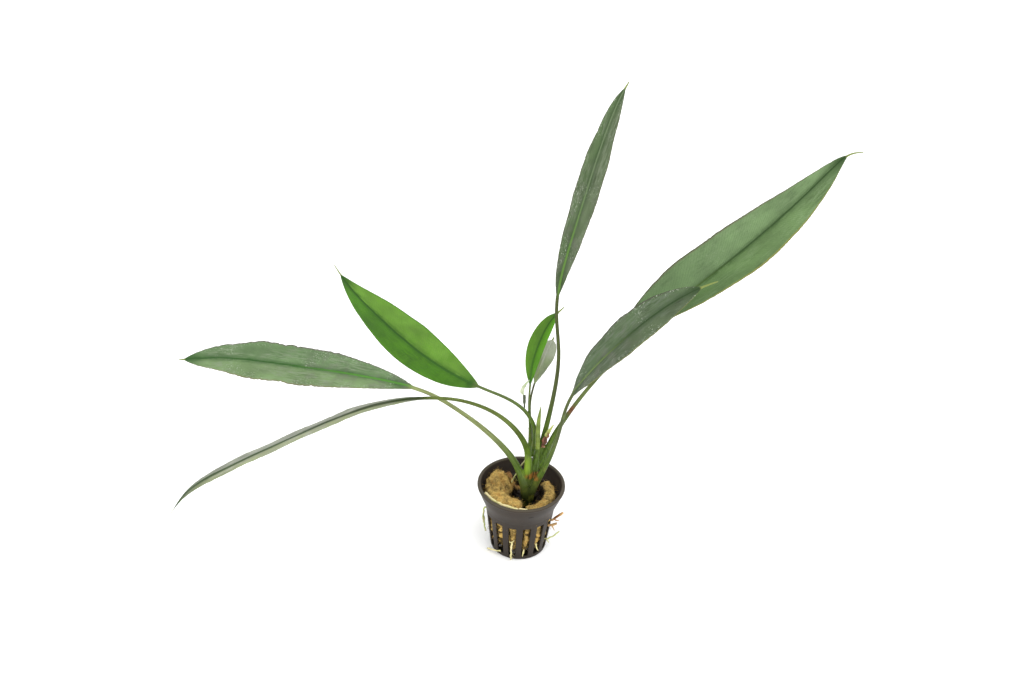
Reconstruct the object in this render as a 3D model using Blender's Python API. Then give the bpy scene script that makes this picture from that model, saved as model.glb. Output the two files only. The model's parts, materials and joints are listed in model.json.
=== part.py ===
"""A potted aridarum: a small net pot, torn mineral wool, and the plant that grows in it.

Sizes below are in millimetres and degrees. The origin is the centre of the pot's underside,
+Z is up, -Y faces the viewer, and bearings turn from +X towards +Y.
"""

import math
from collections import namedtuple

import bmesh
import bpy
from mathutils import Vector, geometry, noise

MM = 0.001

# Net pot
POT_BASE_RADIUS = 17.5
POT_RIM_RADIUS = 27.5
POT_HEIGHT = 48.0
POT_WALL = 1.2
POT_FLOOR = 1.6
POT_STEPS_ROUND = 42
# radius and height where the outer wall changes its slope, from the foot up
POT_OUTER = (
    (16.9, 0.0), (POT_BASE_RADIUS, 0.6), (21.6, 31.0), (22.9, 35.5), (25.2, 40.5), (26.8, 45.8),
    (POT_RIM_RADIUS, 46.3),
)
POT_LIP = ((POT_RIM_RADIUS, 47.5), (27.1, POT_HEIGHT), (26, POT_HEIGHT), (25.6, 47.3))
POT_INNER = ((24.0, 40.8), (22.6, 37.6), (21.8, 37.2), (21.5, 35.7), (20.4, 31.0))
SLOTS = 14
SLOT_FIRST = 14.1
SLOT_BOTTOM = 3.0
SLOT_TOP = 27.6
SLOT_WIDTH_BOTTOM = 4.2
SLOT_WIDTH_TOP = 5.2
DRAIN_SLOTS = 7
DRAIN_WIDTH = 2.6
DRAIN_INNER_RADIUS = 6.5
DRAIN_OUTER_RADIUS = 14.0
CUT_IN = 3.0
CUT_OUT = 4.0
CUT_PAST = 1.0
MERGE_WITHIN = 0.001

# Gap kept between neighbouring pieces
GAP = 0.3

# Mineral wool
WOOL_BOTTOM = 4.0
WOOL_CORE_RADIUS = 3.0
WOOL_CORE_TOP = 27.0
WOOL_FOOT_RADIUS = 12.5
WOOL_FOOT_CORNER = (15.6, 6.6)
WOOL_WALL_HEIGHTS = (10, 17, 24)
WOOL_WALL_GAP = 0.4
WOOL_LUMP = 0.9
WOOL_LUMP_SPACING = 6.0
WOOL_COLUMN_STEP = 13.0
WOOL_TOP_FROM = 28.0
WOOL_RISE_OVER = 14.0
WOOL_SINK_IN = 0.6

# Leaves
RING_POINTS = 12
ROUTE_STEPS = 6
STALK_STEP = 9.0
BLADE_STATIONS = 16
BLADE_ROUNDS_OFF_BY = 0.08
WEB_THICKNESS = 0.4
MIDRIB_THICKNESS = 1.0
MIDRIB_FULL_UNTIL = 0.5
LEFT_EDGE_PHASE = 1.9
TIP_HALF_WIDTH = 0.3

# Colours, linear
POT_GREY = (0.085, 0.077, 0.070)
WOOL_OCHRE = (0.400, 0.270, 0.080)
WOOL_RUST = (0.300, 0.150, 0.050)
DEEP_GREEN = (0.120, 0.185, 0.090)
MID_GREEN = (0.200, 0.300, 0.150)
YOUNG_GREEN = (0.115, 0.250, 0.035)
PALE_GREEN = (0.220, 0.270, 0.155)
STEM_GREEN = (0.085, 0.120, 0.025)
ROOT_CREAM = (0.700, 0.600, 0.330)
ROOT_ORANGE = (0.560, 0.260, 0.080)
ROOT_BROWN = (0.330, 0.180, 0.080)
ROOT_GREEN = (0.420, 0.480, 0.170)
SHEATH_STRAW = (0.620, 0.560, 0.260)

# One leaf, from the foot of its stalk to its tip. route holds corners that pull its curve,
# neck is the corner where the blade begins, side the bearing of its right edge when it lies
# flat, turns the roll about the midrib at the blade's base, middle and tip, ripple the height
# and number of edge waves, and thread the length of the thin tip past the blade.
Leaf = namedtuple(
    "Leaf", "name colour route neck stalk side turns width base_power tip_power fold ripple thread")

LEAVES = (
    Leaf(
        "leaf_far_left", DEEP_GREEN,
        ((2, -5, 50), (-4, -2, 68), (-24, 4, 86), (-46, 12, 97), (-64, 18, 104), (-105, 33, 101),
         (-150, 50, 93), (-195, 66, 86), (-226, 77, 73)),
        neck=4, stalk=(4.2, 2.4), side=70, turns=(20, 20, 35), width=30,
        base_power=0.9, tip_power=0.85, fold=4, ripple=(0.5, 3.5), thread=4,
    ),
    Leaf(
        "leaf_drooping", PALE_GREEN,
        ((3.6, -3.6, 60), (3.8, -2.8, 80), (-12, -4, 102), (-32, -8, 115), (-53, -12, 121),
         (-90, -18, 119), (-130, -25, 100), (-172, -32, 78), (-202, -38, 62),
         (-213, -41, 42)),
        neck=4, stalk=(3.9, 2.0), side=100, turns=(-16, -24, -12), width=27,
        base_power=0.9, tip_power=0.8, fold=0, ripple=(0.2, 4.5), thread=4,
    ),
    Leaf(
        "leaf_young", YOUNG_GREEN,
        ((6.4, 3.1, 72.5), (8, 3.6, 86), (1, 6, 101), (-14, 12, 106), (-26, 20, 104), (-58, 50, 98),
         (-90, 86, 101), (-119, 118, 108), (-130, 132, 117)),
        neck=4, stalk=(2.6, 1.8), side=40, turns=(45, 18, -10), width=29,
        base_power=0.8, tip_power=0.85, fold=15, ripple=(0.4, 3.0), thread=8,
    ),
    Leaf(
        "leaf_upright", DEEP_GREEN,
        ((10.4, 3.5, 72), (16, 6, 105), (20, 12, 141), (12, 21, 170), (23, 35, 214), (34, 53, 256),
         (44, 68, 284), (50, 74, 293)),
        neck=3, stalk=(2.8, 2.1), side=-20, turns=(-40, -50, -40), width=18,
        base_power=0.85, tip_power=0.8, fold=6, ripple=(0.3, 5.0), thread=4,
    ),
    Leaf(
        "leaf_right_large", MID_GREEN,
        ((12, 1.3, 64), (17, 4, 82), (28, 11, 99), (38, 17, 113), (70, 34, 149), (110, 54, 175),
         (148, 80, 199), (176, 100, 221), (190, 111, 233), (201, 117, 230)),
        neck=3, stalk=(3.5, 2.4), side=-60, turns=(50, -25, -60), width=35,
        base_power=0.65, tip_power=0.85, fold=26, ripple=(0.5, 2.5), thread=12,
    ),
    Leaf(
        "leaf_right_front", DEEP_GREEN,
        ((9.1, -5.4, 54), (17, -9, 76), (22, -10, 102), (24.5, -11, 125), (43, -12, 155),
         (70, -13, 189), (92, -14, 208), (105, -15, 215)),
        neck=3, stalk=(3.0, 2.0), side=-90, turns=(-10, -30, -60), width=24,
        base_power=0.65, tip_power=0.8, fold=10, ripple=(0.4, 4.0), thread=10,
    ),
    Leaf(
        "leaf_small_bright", YOUNG_GREEN,
        ((4, 4.3, 71), (4, 6.8, 84), (1.5, 9.2, 102), (2, 10.6, 115), (2, 15, 130), (10, 25, 153),
         (20, 31, 161)),
        neck=3, stalk=(1.6, 1.2), side=0, turns=(20, 35, 20), width=12,
        base_power=1.0, tip_power=0.8, fold=20, ripple=(0.2, 2.0), thread=5,
    ),
    Leaf(
        "leaf_small_pale", PALE_GREEN,
        ((6.4, 5.1, 71.4), (4, 10, 84), (2, 13, 100), (4, 16, 112), (9, 22, 128), (15, 29, 140)),
        neck=3, stalk=(1.4, 1.1), side=0, turns=(-10, -20, -20), width=11,
        base_power=1.0, tip_power=0.5, fold=12, ripple=(0.2, 2.0), thread=2,
    ),
)

# Torn chunks of wool. start and end are bearings, top the section's upper points, from the
# pot wall inwards, and rise how far the top lifts, beyond which bearing and outside which radius.
Chunk = namedtuple("Chunk", "name colour start end top rise")

WOOL_CHUNKS = (
    Chunk(
        "wool_left", WOOL_OCHRE, 131, 275,
        ((20.2, 35.2), (21, 40), (23.2, 45), (21.7, 47), (16.5, 47.6), (10.5, 43.6), (6.8, 39.5),
         (6.4, 30.5)),
        rise=(-3.4, 176, 12),
    ),
    Chunk(
        "wool_right", WOOL_OCHRE, 279, 396,
        ((20.2, 32), (21, 37), (22.4, 40.5), (21, 42.8), (18, 43.6), (15, 42.2), (13.6, 37),
         (10.4, 30.5)),
        rise=(0, 0, 0),
    ),
    Chunk(
        "wool_back", WOOL_RUST, 38, 129,
        ((19.4, 30), (18, 32), (15, 32.6), (11.4, 31.5), (10.2, 29.5)),
        rise=(12, 101, 0),
    ),
)

# Rhizome, new shoot and dry sheath: where each centre line runs, and how thick it is there
LOFT_STEPS = 3
STEM_ROUTE = (
    (3.6, -2.6, 30.5), (4.2, -2.4, 36), (6.3, -1.5, 47), (7.5, -0.5, 60), (8.4, 0.2, 70),
    (8.8, 0.5, 76),
)
STEM_RADII = (2.6, 3.6, 3.3, 2.6, 2.0, 1.2)
STEM_POINTS = 12

SHOOT_ROUTE = ((8.9, 0.6, 76.6), (8.4, 0.9, 84), (8.2, 1.7, 93), (8.6, 2.6, 100), (9.2, 3.4, 106))
SHOOT_RADII = (1.5, 1.55, 1.4, 0.95, 0.25)
SHOOT_POINTS = 8

SHEATH_ROUTE = ((11.8, 0.6, 76.6), (12.7, 0.9, 82), (14.5, 1.2, 88.5), (17.9, 1.6, 94))
SHEATH_HALF_WIDTHS = (0.9, 1.3, 1.2, 0.3)
SHEATH_HALF_THICKNESS = 0.25
SHEATH_POINTS = 8

# Roots: centre line, radius at the start and radius at the end
Root = namedtuple("Root", "name colour route start_radius end_radius")

ROOTS = (
    Root(
        "air_root", ROOT_GREEN,
        ((2.5, -0.8, 68), (0, 2.2, 62), (-2.5, 4, 55), (-5, 4.5, 48), (-6.2, 4.8, 44.4)), 0.5, 0.4,
    ),
    Root(
        "rim_root", ROOT_CREAM,
        ((-22.2, -8.6, 45.3), (-18.4, -14, 45.3), (-12, -18.9, 45.3), (-4, -21.8, 45),
         (4.4, -22, 44.6)), 0.8, 0.7,
    ),
    Root(
        "root_orange", ROOT_ORANGE,
        ((19.2, 0.4, 18.5), (22, 0.2, 20.5), (24.6, -0.6, 23.4), (27.3, -1.2, 26.8)), 0.75, 0.85,
    ),
    Root(
        "root_brown", ROOT_BROWN,
        ((17.6, -7.9, 21.4), (20.6, -8.2, 21.7), (22.2, -7.4, 22.2), (23.8, -7.2, 23)), 0.8, 0.8,
    ),
    Root(
        "root_green", ROOT_GREEN,
        ((16.1, -7.4, 10), (19.4, -8.2, 10.8), (22.5, -6, 12.2), (25.6, -4.4, 13.4)), 0.5, 0.4,
    ),
    Root(
        "root_front", ROOT_CREAM,
        ((-3.7, -18.2, 15.5), (-4.1, -20.3, 14), (-4, -20, 9), (-4.1, -18.9, 3), (-4, -18.6, 0.8)),
        0.6, 0.5,
    ),
    Root(
        "root_base_left", ROOT_CREAM,
        ((-19.4, -9.2, 1.1), (-17, -10.4, 1.9), (-13.6, -13.8, 3.2), (-10.4, -15.4, 4.6)), 0.55, 0.45,
    ),
    Root(
        "root_left", ROOT_GREEN,
        ((-20.6, 0.6, 26.2), (-22.9, 0.6, 27), (-22.8, 0.2, 21), (-22, -0.4, 14), (-20.8, -0.8, 8)),
        0.6, 0.45,
    ),
)
ROOT_STEPS = 3

# Surface finish
POT_ROUGHNESS = 0.55
WOOL_ROUGHNESS = 0.95
LEAF_ROUGHNESS = 0.45
SHOOT_ROUGHNESS = 0.4
SHEATH_ROUGHNESS = 0.7
ROOT_ROUGHNESS = 0.6
SHARP_ANGLE = 40


def clear_scene():
    for obj in list(bpy.data.objects):
        bpy.data.objects.remove(obj, do_unlink=True)


def material(name, colour, roughness):
    made = bpy.data.materials.new(name)
    made.use_nodes = True
    shader = made.node_tree.nodes["Principled BSDF"]
    shader.inputs["Base Color"].default_value = (*colour, 1)
    shader.inputs["Roughness"].default_value = roughness
    shader.inputs["Metallic"].default_value = 0
    return made


def object_from(name, bm, finish):
    """One object from a bmesh in millimetres, its faces turned outwards."""
    bmesh.ops.recalc_face_normals(bm, faces=bm.faces)
    bmesh.ops.scale(bm, vec=(MM, MM, MM), verts=bm.verts)
    mesh = bpy.data.meshes.new(name)
    bm.to_mesh(mesh)
    bm.free()
    mesh.shade_smooth()
    mesh.set_sharp_from_angle(angle=math.radians(SHARP_ANGLE))
    mesh.materials.append(finish)
    obj = bpy.data.objects.new(name, mesh)
    bpy.context.scene.collection.objects.link(obj)
    return obj


def on_bearing(radius, bearing, height):
    turn = math.radians(bearing)
    return Vector((radius * math.cos(turn), radius * math.sin(turn), height))


def smooth_route(points, steps):
    """Points along the smooth curve that the given corners pull, steps to each stretch."""
    points = [Vector(point) for point in points]
    ends = [2 * points[0] - points[1], *points, 2 * points[-1] - points[-2]]
    knots = [(before + 4 * here + after) / 6 for before, here, after in zip(ends, ends[1:], ends[2:])]
    route = [knots[0]]
    for i in range(len(points) - 1):
        leave, arrive = (points[i].lerp(points[i + 1], share) for share in (1 / 3, 2 / 3))
        route += geometry.interpolate_bezier(knots[i], leave, arrive, knots[i + 1], steps + 1)[1:]
    return route


def distances(route):
    total = [0.0]
    for first, second in zip(route, route[1:]):
        total.append(total[-1] + (second - first).length)
    return total


def point_at(route, along, distance):
    """The point and the direction of travel at a distance along the route."""
    for i in range(len(route) - 1):
        if distance <= along[i + 1] or i == len(route) - 2:
            share = (distance - along[i]) / (along[i + 1] - along[i])
            before = (route[i] - route[i - 1] if i else route[1] - route[0]).normalized()
            here = (route[i + 1] - route[i]).normalized()
            return route[i].lerp(route[i + 1], share), before.lerp(here, 0.5 + share / 2)


def skin(rings):
    """A closed surface over rings of equally many points."""
    bm = bmesh.new()
    rows = [[bm.verts.new(point) for point in ring] for ring in rings]
    for row, after in zip(rows, rows[1:]):
        for i in range(len(row)):
            j = (i + 1) % len(row)
            bm.faces.new((row[i], row[j], after[j], after[i]))
    bm.faces.new(reversed(rows[0]))
    bm.faces.new(rows[-1])
    return bm


def smoothstep(value):
    value = min(max(value, 0.0), 1.0)
    return value * value * (3 - 2 * value)


def blade_share(t, leaf):
    """The blade's width at t along it, as a share of its widest."""
    widest = leaf.base_power / (leaf.base_power + leaf.tip_power)
    peak = widest**leaf.base_power * (1 - widest) ** leaf.tip_power
    return t**leaf.base_power * (1 - t) ** leaf.tip_power / peak


def roll_at(t, turns):
    """A smooth turn through its values at the blade's base, middle and tip."""
    base, middle, tip = turns
    return math.radians(base * (1 - t) * (1 - 2 * t) + middle * 4 * t * (1 - t) + tip * t * (2 * t - 1))


def leaf_axes(direction, side, roll):
    """Across and upward directions of a leaf that runs in this direction."""
    reference = on_bearing(1, side, 0)
    across = (reference - direction * reference.dot(direction)).normalized()
    up = across.cross(direction)
    return (
        across * math.cos(roll) + up * math.sin(roll),
        up * math.cos(roll) - across * math.sin(roll),
    )


def leaf_ring(centre, across, up, leaf, t, stalk_radius):
    """One closed section: round on the stalk, a thin folded lens on the blade."""
    half_width = max(stalk_radius * (1 - t), blade_share(t, leaf) * leaf.width / 2, TIP_HALF_WIDTH)
    flat = smoothstep(t / BLADE_ROUNDS_OFF_BY)
    midrib = stalk_radius + (MIDRIB_THICKNESS / 2 - stalk_radius) * smoothstep(t / MIDRIB_FULL_UNTIL)
    midrib += (WEB_THICKNESS / 2 - midrib) * smoothstep((t - MIDRIB_FULL_UNTIL) / (1 - MIDRIB_FULL_UNTIL))
    rise = math.tan(math.radians(leaf.fold)) * flat
    height, waves = leaf.ripple
    ring = []
    for i in range(RING_POINTS):
        angle = 2 * math.pi * i / RING_POINTS
        out, lift = math.cos(angle), math.sin(angle)
        if i in (RING_POINTS // 4, 3 * RING_POINTS // 4):
            thick = midrib
        elif i in (0, RING_POINTS // 2):
            thick = 0
        else:
            thick = WEB_THICKNESS / 2
        thick = stalk_radius * lift * (1 - flat) + math.copysign(thick, lift) * flat
        phase = 0 if out > 0 else LEFT_EDGE_PHASE
        wave = height * math.sin(2 * math.pi * waves * t + phase) * out * out * blade_share(t, leaf)
        ring.append(centre + across * half_width * out + up * (thick + rise * half_width * abs(out) + wave))
    return ring


def make_leaf(leaf):
    route = smooth_route(leaf.route, ROUTE_STEPS)
    along = distances(route)
    neck, tip = along[leaf.neck * ROUTE_STEPS], along[-1] - leaf.thread
    foot_radius, neck_radius = (diameter / 2 for diameter in leaf.stalk)
    stalk_stations = max(3, round(neck / STALK_STEP))
    stations = [neck * i / stalk_stations for i in range(stalk_stations)]
    stations += [neck + (tip - neck) * i / BLADE_STATIONS for i in range(BLADE_STATIONS + 1)]
    stations.append(along[-1])
    rings = []
    for distance in stations:
        t = min(max((distance - neck) / (tip - neck), 0.0), 1.0)
        down = min(distance / neck, 1)
        radius = neck_radius + (foot_radius - neck_radius) * (1 - down) ** 2
        centre, direction = point_at(route, along, distance)
        across, up = leaf_axes(direction.normalized(), leaf.side, roll_at(t, leaf.turns))
        rings.append(leaf_ring(centre, across, up, leaf, t, radius))
    object_from(leaf.name, skin(rings), material(leaf.name, leaf.colour, LEAF_ROUGHNESS))


def round_loft(name, route, half_sizes, points, finish):
    """A tapering shoot: half_sizes gives half its width and half its depth at each route point."""
    path = smooth_route(route, LOFT_STEPS)
    along = distances(path)
    rings = []
    for i, distance in enumerate(along):
        before = min(i // LOFT_STEPS, len(half_sizes) - 2)
        first, second = (Vector(size) for size in half_sizes[before : before + 2])
        wide, deep = first.lerp(second, i / LOFT_STEPS - before)
        centre, direction = point_at(path, along, distance)
        across, up = leaf_axes(direction.normalized(), 0, 0)
        angles = [2 * math.pi * k / points for k in range(points)]
        rings.append([centre + across * wide * math.cos(a) + up * deep * math.sin(a) for a in angles])
    object_from(name, skin(rings), finish)


def make_crown():
    green = material("stem", STEM_GREEN, SHOOT_ROUGHNESS)
    round_loft("stem", STEM_ROUTE, [(radius, radius) for radius in STEM_RADII], STEM_POINTS, green)
    shoot = material("new_shoot", YOUNG_GREEN, SHOOT_ROUGHNESS)
    round_loft("new_shoot", SHOOT_ROUTE, [(radius, radius) for radius in SHOOT_RADII], SHOOT_POINTS, shoot)
    straw = material("dry_sheath", SHEATH_STRAW, SHEATH_ROUGHNESS)
    flakes = [(half_width, SHEATH_HALF_THICKNESS) for half_width in SHEATH_HALF_WIDTHS]
    round_loft("dry_sheath", SHEATH_ROUTE, flakes, SHEATH_POINTS, straw)


def make_root(root):
    """A tapering tube along a smooth route, as a bevelled curve with filled ends."""
    curve = bpy.data.curves.new(root.name, "CURVE")
    curve.dimensions = "3D"
    curve.fill_mode = "FULL"
    curve.bevel_depth = root.start_radius * MM
    curve.bevel_resolution = 1
    curve.use_fill_caps = True
    route = smooth_route(root.route, ROOT_STEPS)
    spline = curve.splines.new("POLY")
    spline.points.add(len(route) - 1)
    for i, (target, point) in enumerate(zip(spline.points, route)):
        share = i / (len(route) - 1)
        target.co = (*(point * MM), 1)
        target.radius = 1 + (root.end_radius / root.start_radius - 1) * share
    curve.materials.append(material(root.name, root.colour, ROOT_ROUGHNESS))
    obj = bpy.data.objects.new(root.name, curve)
    bpy.context.scene.collection.objects.link(obj)


def wall_radius(height):
    """The pot's inner wall below the flare."""
    low, high = POT_BASE_RADIUS - POT_WALL, POT_INNER[-1][0]
    return low + (high - low) * height / POT_INNER[-1][1]


def wool_profile(top):
    """The wool's section: out along the bottom, up the pot wall, then the top's own points."""
    foot = ((WOOL_CORE_RADIUS, WOOL_BOTTOM), (WOOL_FOOT_RADIUS, WOOL_BOTTOM), WOOL_FOOT_CORNER)
    wall = tuple((wall_radius(height) - WOOL_WALL_GAP, height) for height in WOOL_WALL_HEIGHTS)
    return (*foot, *wall, *top, (WOOL_CORE_RADIUS, WOOL_CORE_TOP))


def make_wool(chunk):
    """A torn chunk between two bearings, its section uneven along the turn."""
    profile = wool_profile(chunk.top)
    turn = chunk.end - chunk.start
    columns = round(turn / WOOL_COLUMN_STEP)
    lift, lift_from, lift_outside = chunk.rise
    rings = []
    for column in range(columns + 1):
        share = column / columns
        ring = []
        for radius, height in profile:
            inset = math.degrees(math.asin(GAP / radius))
            bearing = chunk.start + inset + (turn - 2 * inset) * share
            on_top = height > WOOL_TOP_FROM
            share_up = smoothstep((bearing - lift_from) / WOOL_RISE_OVER)
            raised = height + (lift * share_up if on_top and radius > lift_outside else 0)
            point = on_bearing(radius, bearing, raised)
            lump = 0.5 + 0.5 * noise.noise(point / WOOL_LUMP_SPACING)
            inwards = WOOL_LUMP * lump if radius > WOOL_CORE_RADIUS else 0
            sunk = raised - (inwards if on_top else 0)
            ring.append(on_bearing(radius - inwards * WOOL_SINK_IN, bearing, sunk))
        rings.append(ring)
    object_from(chunk.name, skin(rings), material(chunk.name, chunk.colour, WOOL_ROUGHNESS))


def slot_cutters():
    """Wall slots, wider at the top, and drain slots in the floor, as one closed set of blocks."""
    bm = bmesh.new()
    for i in range(SLOTS):
        bearing = -90 + SLOT_FIRST + 360 * i / SLOTS
        corners = []
        for height, width in ((SLOT_BOTTOM, SLOT_WIDTH_BOTTOM), (SLOT_TOP, SLOT_WIDTH_TOP)):
            middle = wall_radius(height)
            corners.append([
                on_bearing(middle + reach, bearing, height) + on_bearing(side * width / 2, bearing + 90, 0)
                for reach, side in ((-CUT_IN, -1), (CUT_OUT, -1), (CUT_OUT, 1), (-CUT_IN, 1))
            ])
        add_block(bm, corners)
    for i in range(DRAIN_SLOTS):
        bearing = 360 * (i + 0.5) / DRAIN_SLOTS
        corners = []
        for height in (-CUT_PAST, POT_FLOOR + CUT_PAST):
            corners.append([
                on_bearing(radius, bearing, height) + on_bearing(side * DRAIN_WIDTH / 2, bearing + 90, 0)
                for radius, side in ((DRAIN_INNER_RADIUS, -1), (DRAIN_OUTER_RADIUS, -1),
                                     (DRAIN_OUTER_RADIUS, 1), (DRAIN_INNER_RADIUS, 1))
            ])
        add_block(bm, corners)
    cutter = object_from("slot_cutter", bm, material("slot_cutter", POT_GREY, POT_ROUGHNESS))
    cutter.hide_render = True
    cutter.display_type = "WIRE"
    return cutter


def add_block(bm, corners):
    """A six-sided block from its lower and its upper four corners."""
    low, high = ([bm.verts.new(corner) for corner in level] for level in corners)
    bm.faces.new(reversed(low))
    bm.faces.new(high)
    for i in range(4):
        j = (i + 1) % 4
        bm.faces.new((low[i], low[j], high[j], high[i]))


def make_pot():
    """The turned wall, lip and floor, with the slots cut out of it."""
    inner_foot = (wall_radius(POT_FLOOR), POT_FLOOR)
    outline = ((0, 0), *POT_OUTER, *POT_LIP, *POT_INNER, inner_foot, (0, POT_FLOOR))
    bm = bmesh.new()
    verts = [bm.verts.new((radius, 0, height)) for radius, height in outline]
    edges = [bm.edges.new(pair) for pair in zip(verts, verts[1:])]
    bmesh.ops.spin(
        bm, geom=verts + edges, cent=(0, 0, 0), axis=(0, 0, 1), angle=2 * math.pi,
        steps=POT_STEPS_ROUND, use_merge=True,
    )
    bmesh.ops.remove_doubles(bm, verts=bm.verts, dist=MERGE_WITHIN)
    pot = object_from("net_pot", bm, material("net_pot", POT_GREY, POT_ROUGHNESS))
    slots = pot.modifiers.new("slots", "BOOLEAN")
    slots.operation = "DIFFERENCE"
    slots.object = slot_cutters()


def main():
    clear_scene()
    make_pot()
    for chunk in WOOL_CHUNKS:
        make_wool(chunk)
    make_crown()
    for leaf in LEAVES:
        make_leaf(leaf)
    for root in ROOTS:
        make_root(root)


main()
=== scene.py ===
"""The looks of a potted aridarum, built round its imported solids.

Sizes in the tables are millimetres and degrees. The origin is the centre of the pot's
underside, +Z is up, -Y faces the viewer, and bearings turn from +X towards +Y.
"""

import json
import math
from collections import namedtuple

import bmesh
import bpy
from bpy.props import FloatProperty, FloatVectorProperty, IntProperty, PointerProperty
from mathutils import Matrix, Vector, geometry, noise


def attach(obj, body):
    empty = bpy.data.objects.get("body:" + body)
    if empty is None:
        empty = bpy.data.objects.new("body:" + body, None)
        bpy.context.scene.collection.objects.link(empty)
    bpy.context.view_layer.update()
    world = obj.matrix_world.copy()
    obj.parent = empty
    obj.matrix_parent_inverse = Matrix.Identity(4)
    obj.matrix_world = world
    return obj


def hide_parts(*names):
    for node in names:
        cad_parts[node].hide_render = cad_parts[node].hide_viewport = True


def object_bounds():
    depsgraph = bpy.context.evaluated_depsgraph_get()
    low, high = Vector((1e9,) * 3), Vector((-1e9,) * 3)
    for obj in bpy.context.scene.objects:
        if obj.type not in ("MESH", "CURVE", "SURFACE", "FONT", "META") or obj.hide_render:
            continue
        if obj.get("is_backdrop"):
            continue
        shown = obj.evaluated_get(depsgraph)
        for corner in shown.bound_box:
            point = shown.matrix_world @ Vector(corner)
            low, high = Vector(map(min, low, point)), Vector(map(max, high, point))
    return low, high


bl_info = {
    "name": "Potted Aridarum",
    "version": (1, 0, 0),
    "blender": (4, 5, 0),
    "location": "View3D > Sidebar > Aridarum",
    "description": "Leaves, rhizome, mineral wool, roots and slotted pot of a young aridarum",
    "category": "Add Mesh",
}

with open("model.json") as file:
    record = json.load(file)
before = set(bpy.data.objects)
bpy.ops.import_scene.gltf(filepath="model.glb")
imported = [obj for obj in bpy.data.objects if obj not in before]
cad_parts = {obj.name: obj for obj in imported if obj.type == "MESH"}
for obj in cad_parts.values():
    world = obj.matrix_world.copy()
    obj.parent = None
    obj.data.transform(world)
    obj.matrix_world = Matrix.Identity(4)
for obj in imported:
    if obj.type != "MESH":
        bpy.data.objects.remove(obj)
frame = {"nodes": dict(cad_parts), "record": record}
CAD_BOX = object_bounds()
SLOT_COLOURS = {slot["slot"]: slot["base_color"] for slot in frame["record"]["materials"]}
MM = 0.001

# Camera, fitted to the ellipses of the pot's rim and foot
CAMERA_PLACE = (-10.48, -967.70, 832.90)
CAMERA_PITCH = 35.0
CAMERA_ROLL = 3.0
SENSOR_WIDTH = 36.0

# Pot section from the foot up, as radius and height
POT_BASE_RADIUS = 17.5
POT_RIM_RADIUS = 27.5
POT_HEIGHT = 48.0
POT_FLOOR = 1.6
POT_FOOT = (((16.9, 0.0), (15.9, 0.0)), ((POT_BASE_RADIUS, 0.6), (16.2, 0.6)))
WALL_TOP = 31.0
OUTER_FLARE = ((21.6, WALL_TOP), (22.9, 35.5), (25.2, 40.5), (26.8, 45.8))
INNER_FLARE = ((20.4, WALL_TOP), (21.5, 35.7), (21.8, 37.2), (22.6, 37.6), (24.0, 40.8), (25.35, 46.0))
FLARE_STEPS = 3
POT_LIP = (
    ((27.35, 46.2), (25.25, 46.6)),
    ((POT_RIM_RADIUS, 46.8), (25.25, 47.2)),
    ((27.4, 47.5), (25.5, 47.7)),
    ((27.0, 47.9), (25.95, 47.95)),
    ((26.5, POT_HEIGHT), (26.45, POT_HEIGHT)),
)
SLOTS = 14
SLOT_FIRST = -90 + 14.1
SLOT_BOTTOM = 3.0
SLOT_TOP = 27.6
SLOT_HALF_ANGLE = 7.0
SLOT_ROWS = 8
SLOT_COLUMNS = 6
RIB_COLUMNS = 3
DRAIN_SLOTS = 7
DRAIN_WIDTH = 2.6
DRAIN_RADII = (0.0, 3.0, 6.5, 8.5, 11.0, 14.0, 16.6)
DRAIN_OPEN = (6.5, 14.0)
DRAIN_COLUMNS = 4
BETWEEN_DRAINS = 4
FOOT_RECESS = 0.2
POT_EDGE_ROUND = 0.22
# The inner face of the wall, which is painted dark as shade, as radius in metres at the foot and its gain with height
INNER_FROM = 0.01705
INNER_SLOPE = 0.135
# Where the painted highlight on the lip's paler top begins
LIP_HIGHLIGHT_FROM = 0.0466
# A dark smudge below the lip, in metres
MARK_PLACE = (0.0070, -0.0240, 0.0405)
SHARP_ANGLE = 35

# One leaf, as in the solids. route holds corners that pull its curve, neck is the corner where
# the blade begins, side the bearing of its right edge when it lies flat, turns the roll about
# the midrib at the blade's base, middle and tip, ripple the height and number of edge waves,
# thread the length of the thin tip, and ragged how worn the margins are.
Leaf = namedtuple(
    "Leaf", "name route neck stalk side turns width base_power tip_power fold ripple thread ragged look")
# Looks: slot, then colours of the left half and right half as seen, which are partly their own
# tone and partly painted light and shade where the halves tilt differently to the light, then of
# fine streaks, margin, midrib at base and at tip, and stalk, then how strong streaks, speckles,
# veins and the dark band by the midrib are, a band partly of darker green and partly painted
# shade, the colour of the greyish bloom, how far up the stalk a wound sits, if any, half the
# midrib's width, how far the painted shade at the blade's base reaches, where the tip's own
# colour begins, the right margin's colour, if it differs, how glossy the blade is, and the
# midrib's own colour far out, if it isn't that of the dark band.
Look = namedtuple(
    "Look",
    "slot left right streak margin rib_base rib_tip stalk streaks speckle vein band bloom wound "
    "rib_width dark_base dark_tip right_margin gloss rib_far",
    defaults=((0.17, 0.17, 0.14), 0.0, 1.15, 0.16, 0.88, None, 1.0, None))

WOUND_UP_STALK = 40.0
WOUND_LENGTH = 2.6

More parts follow.
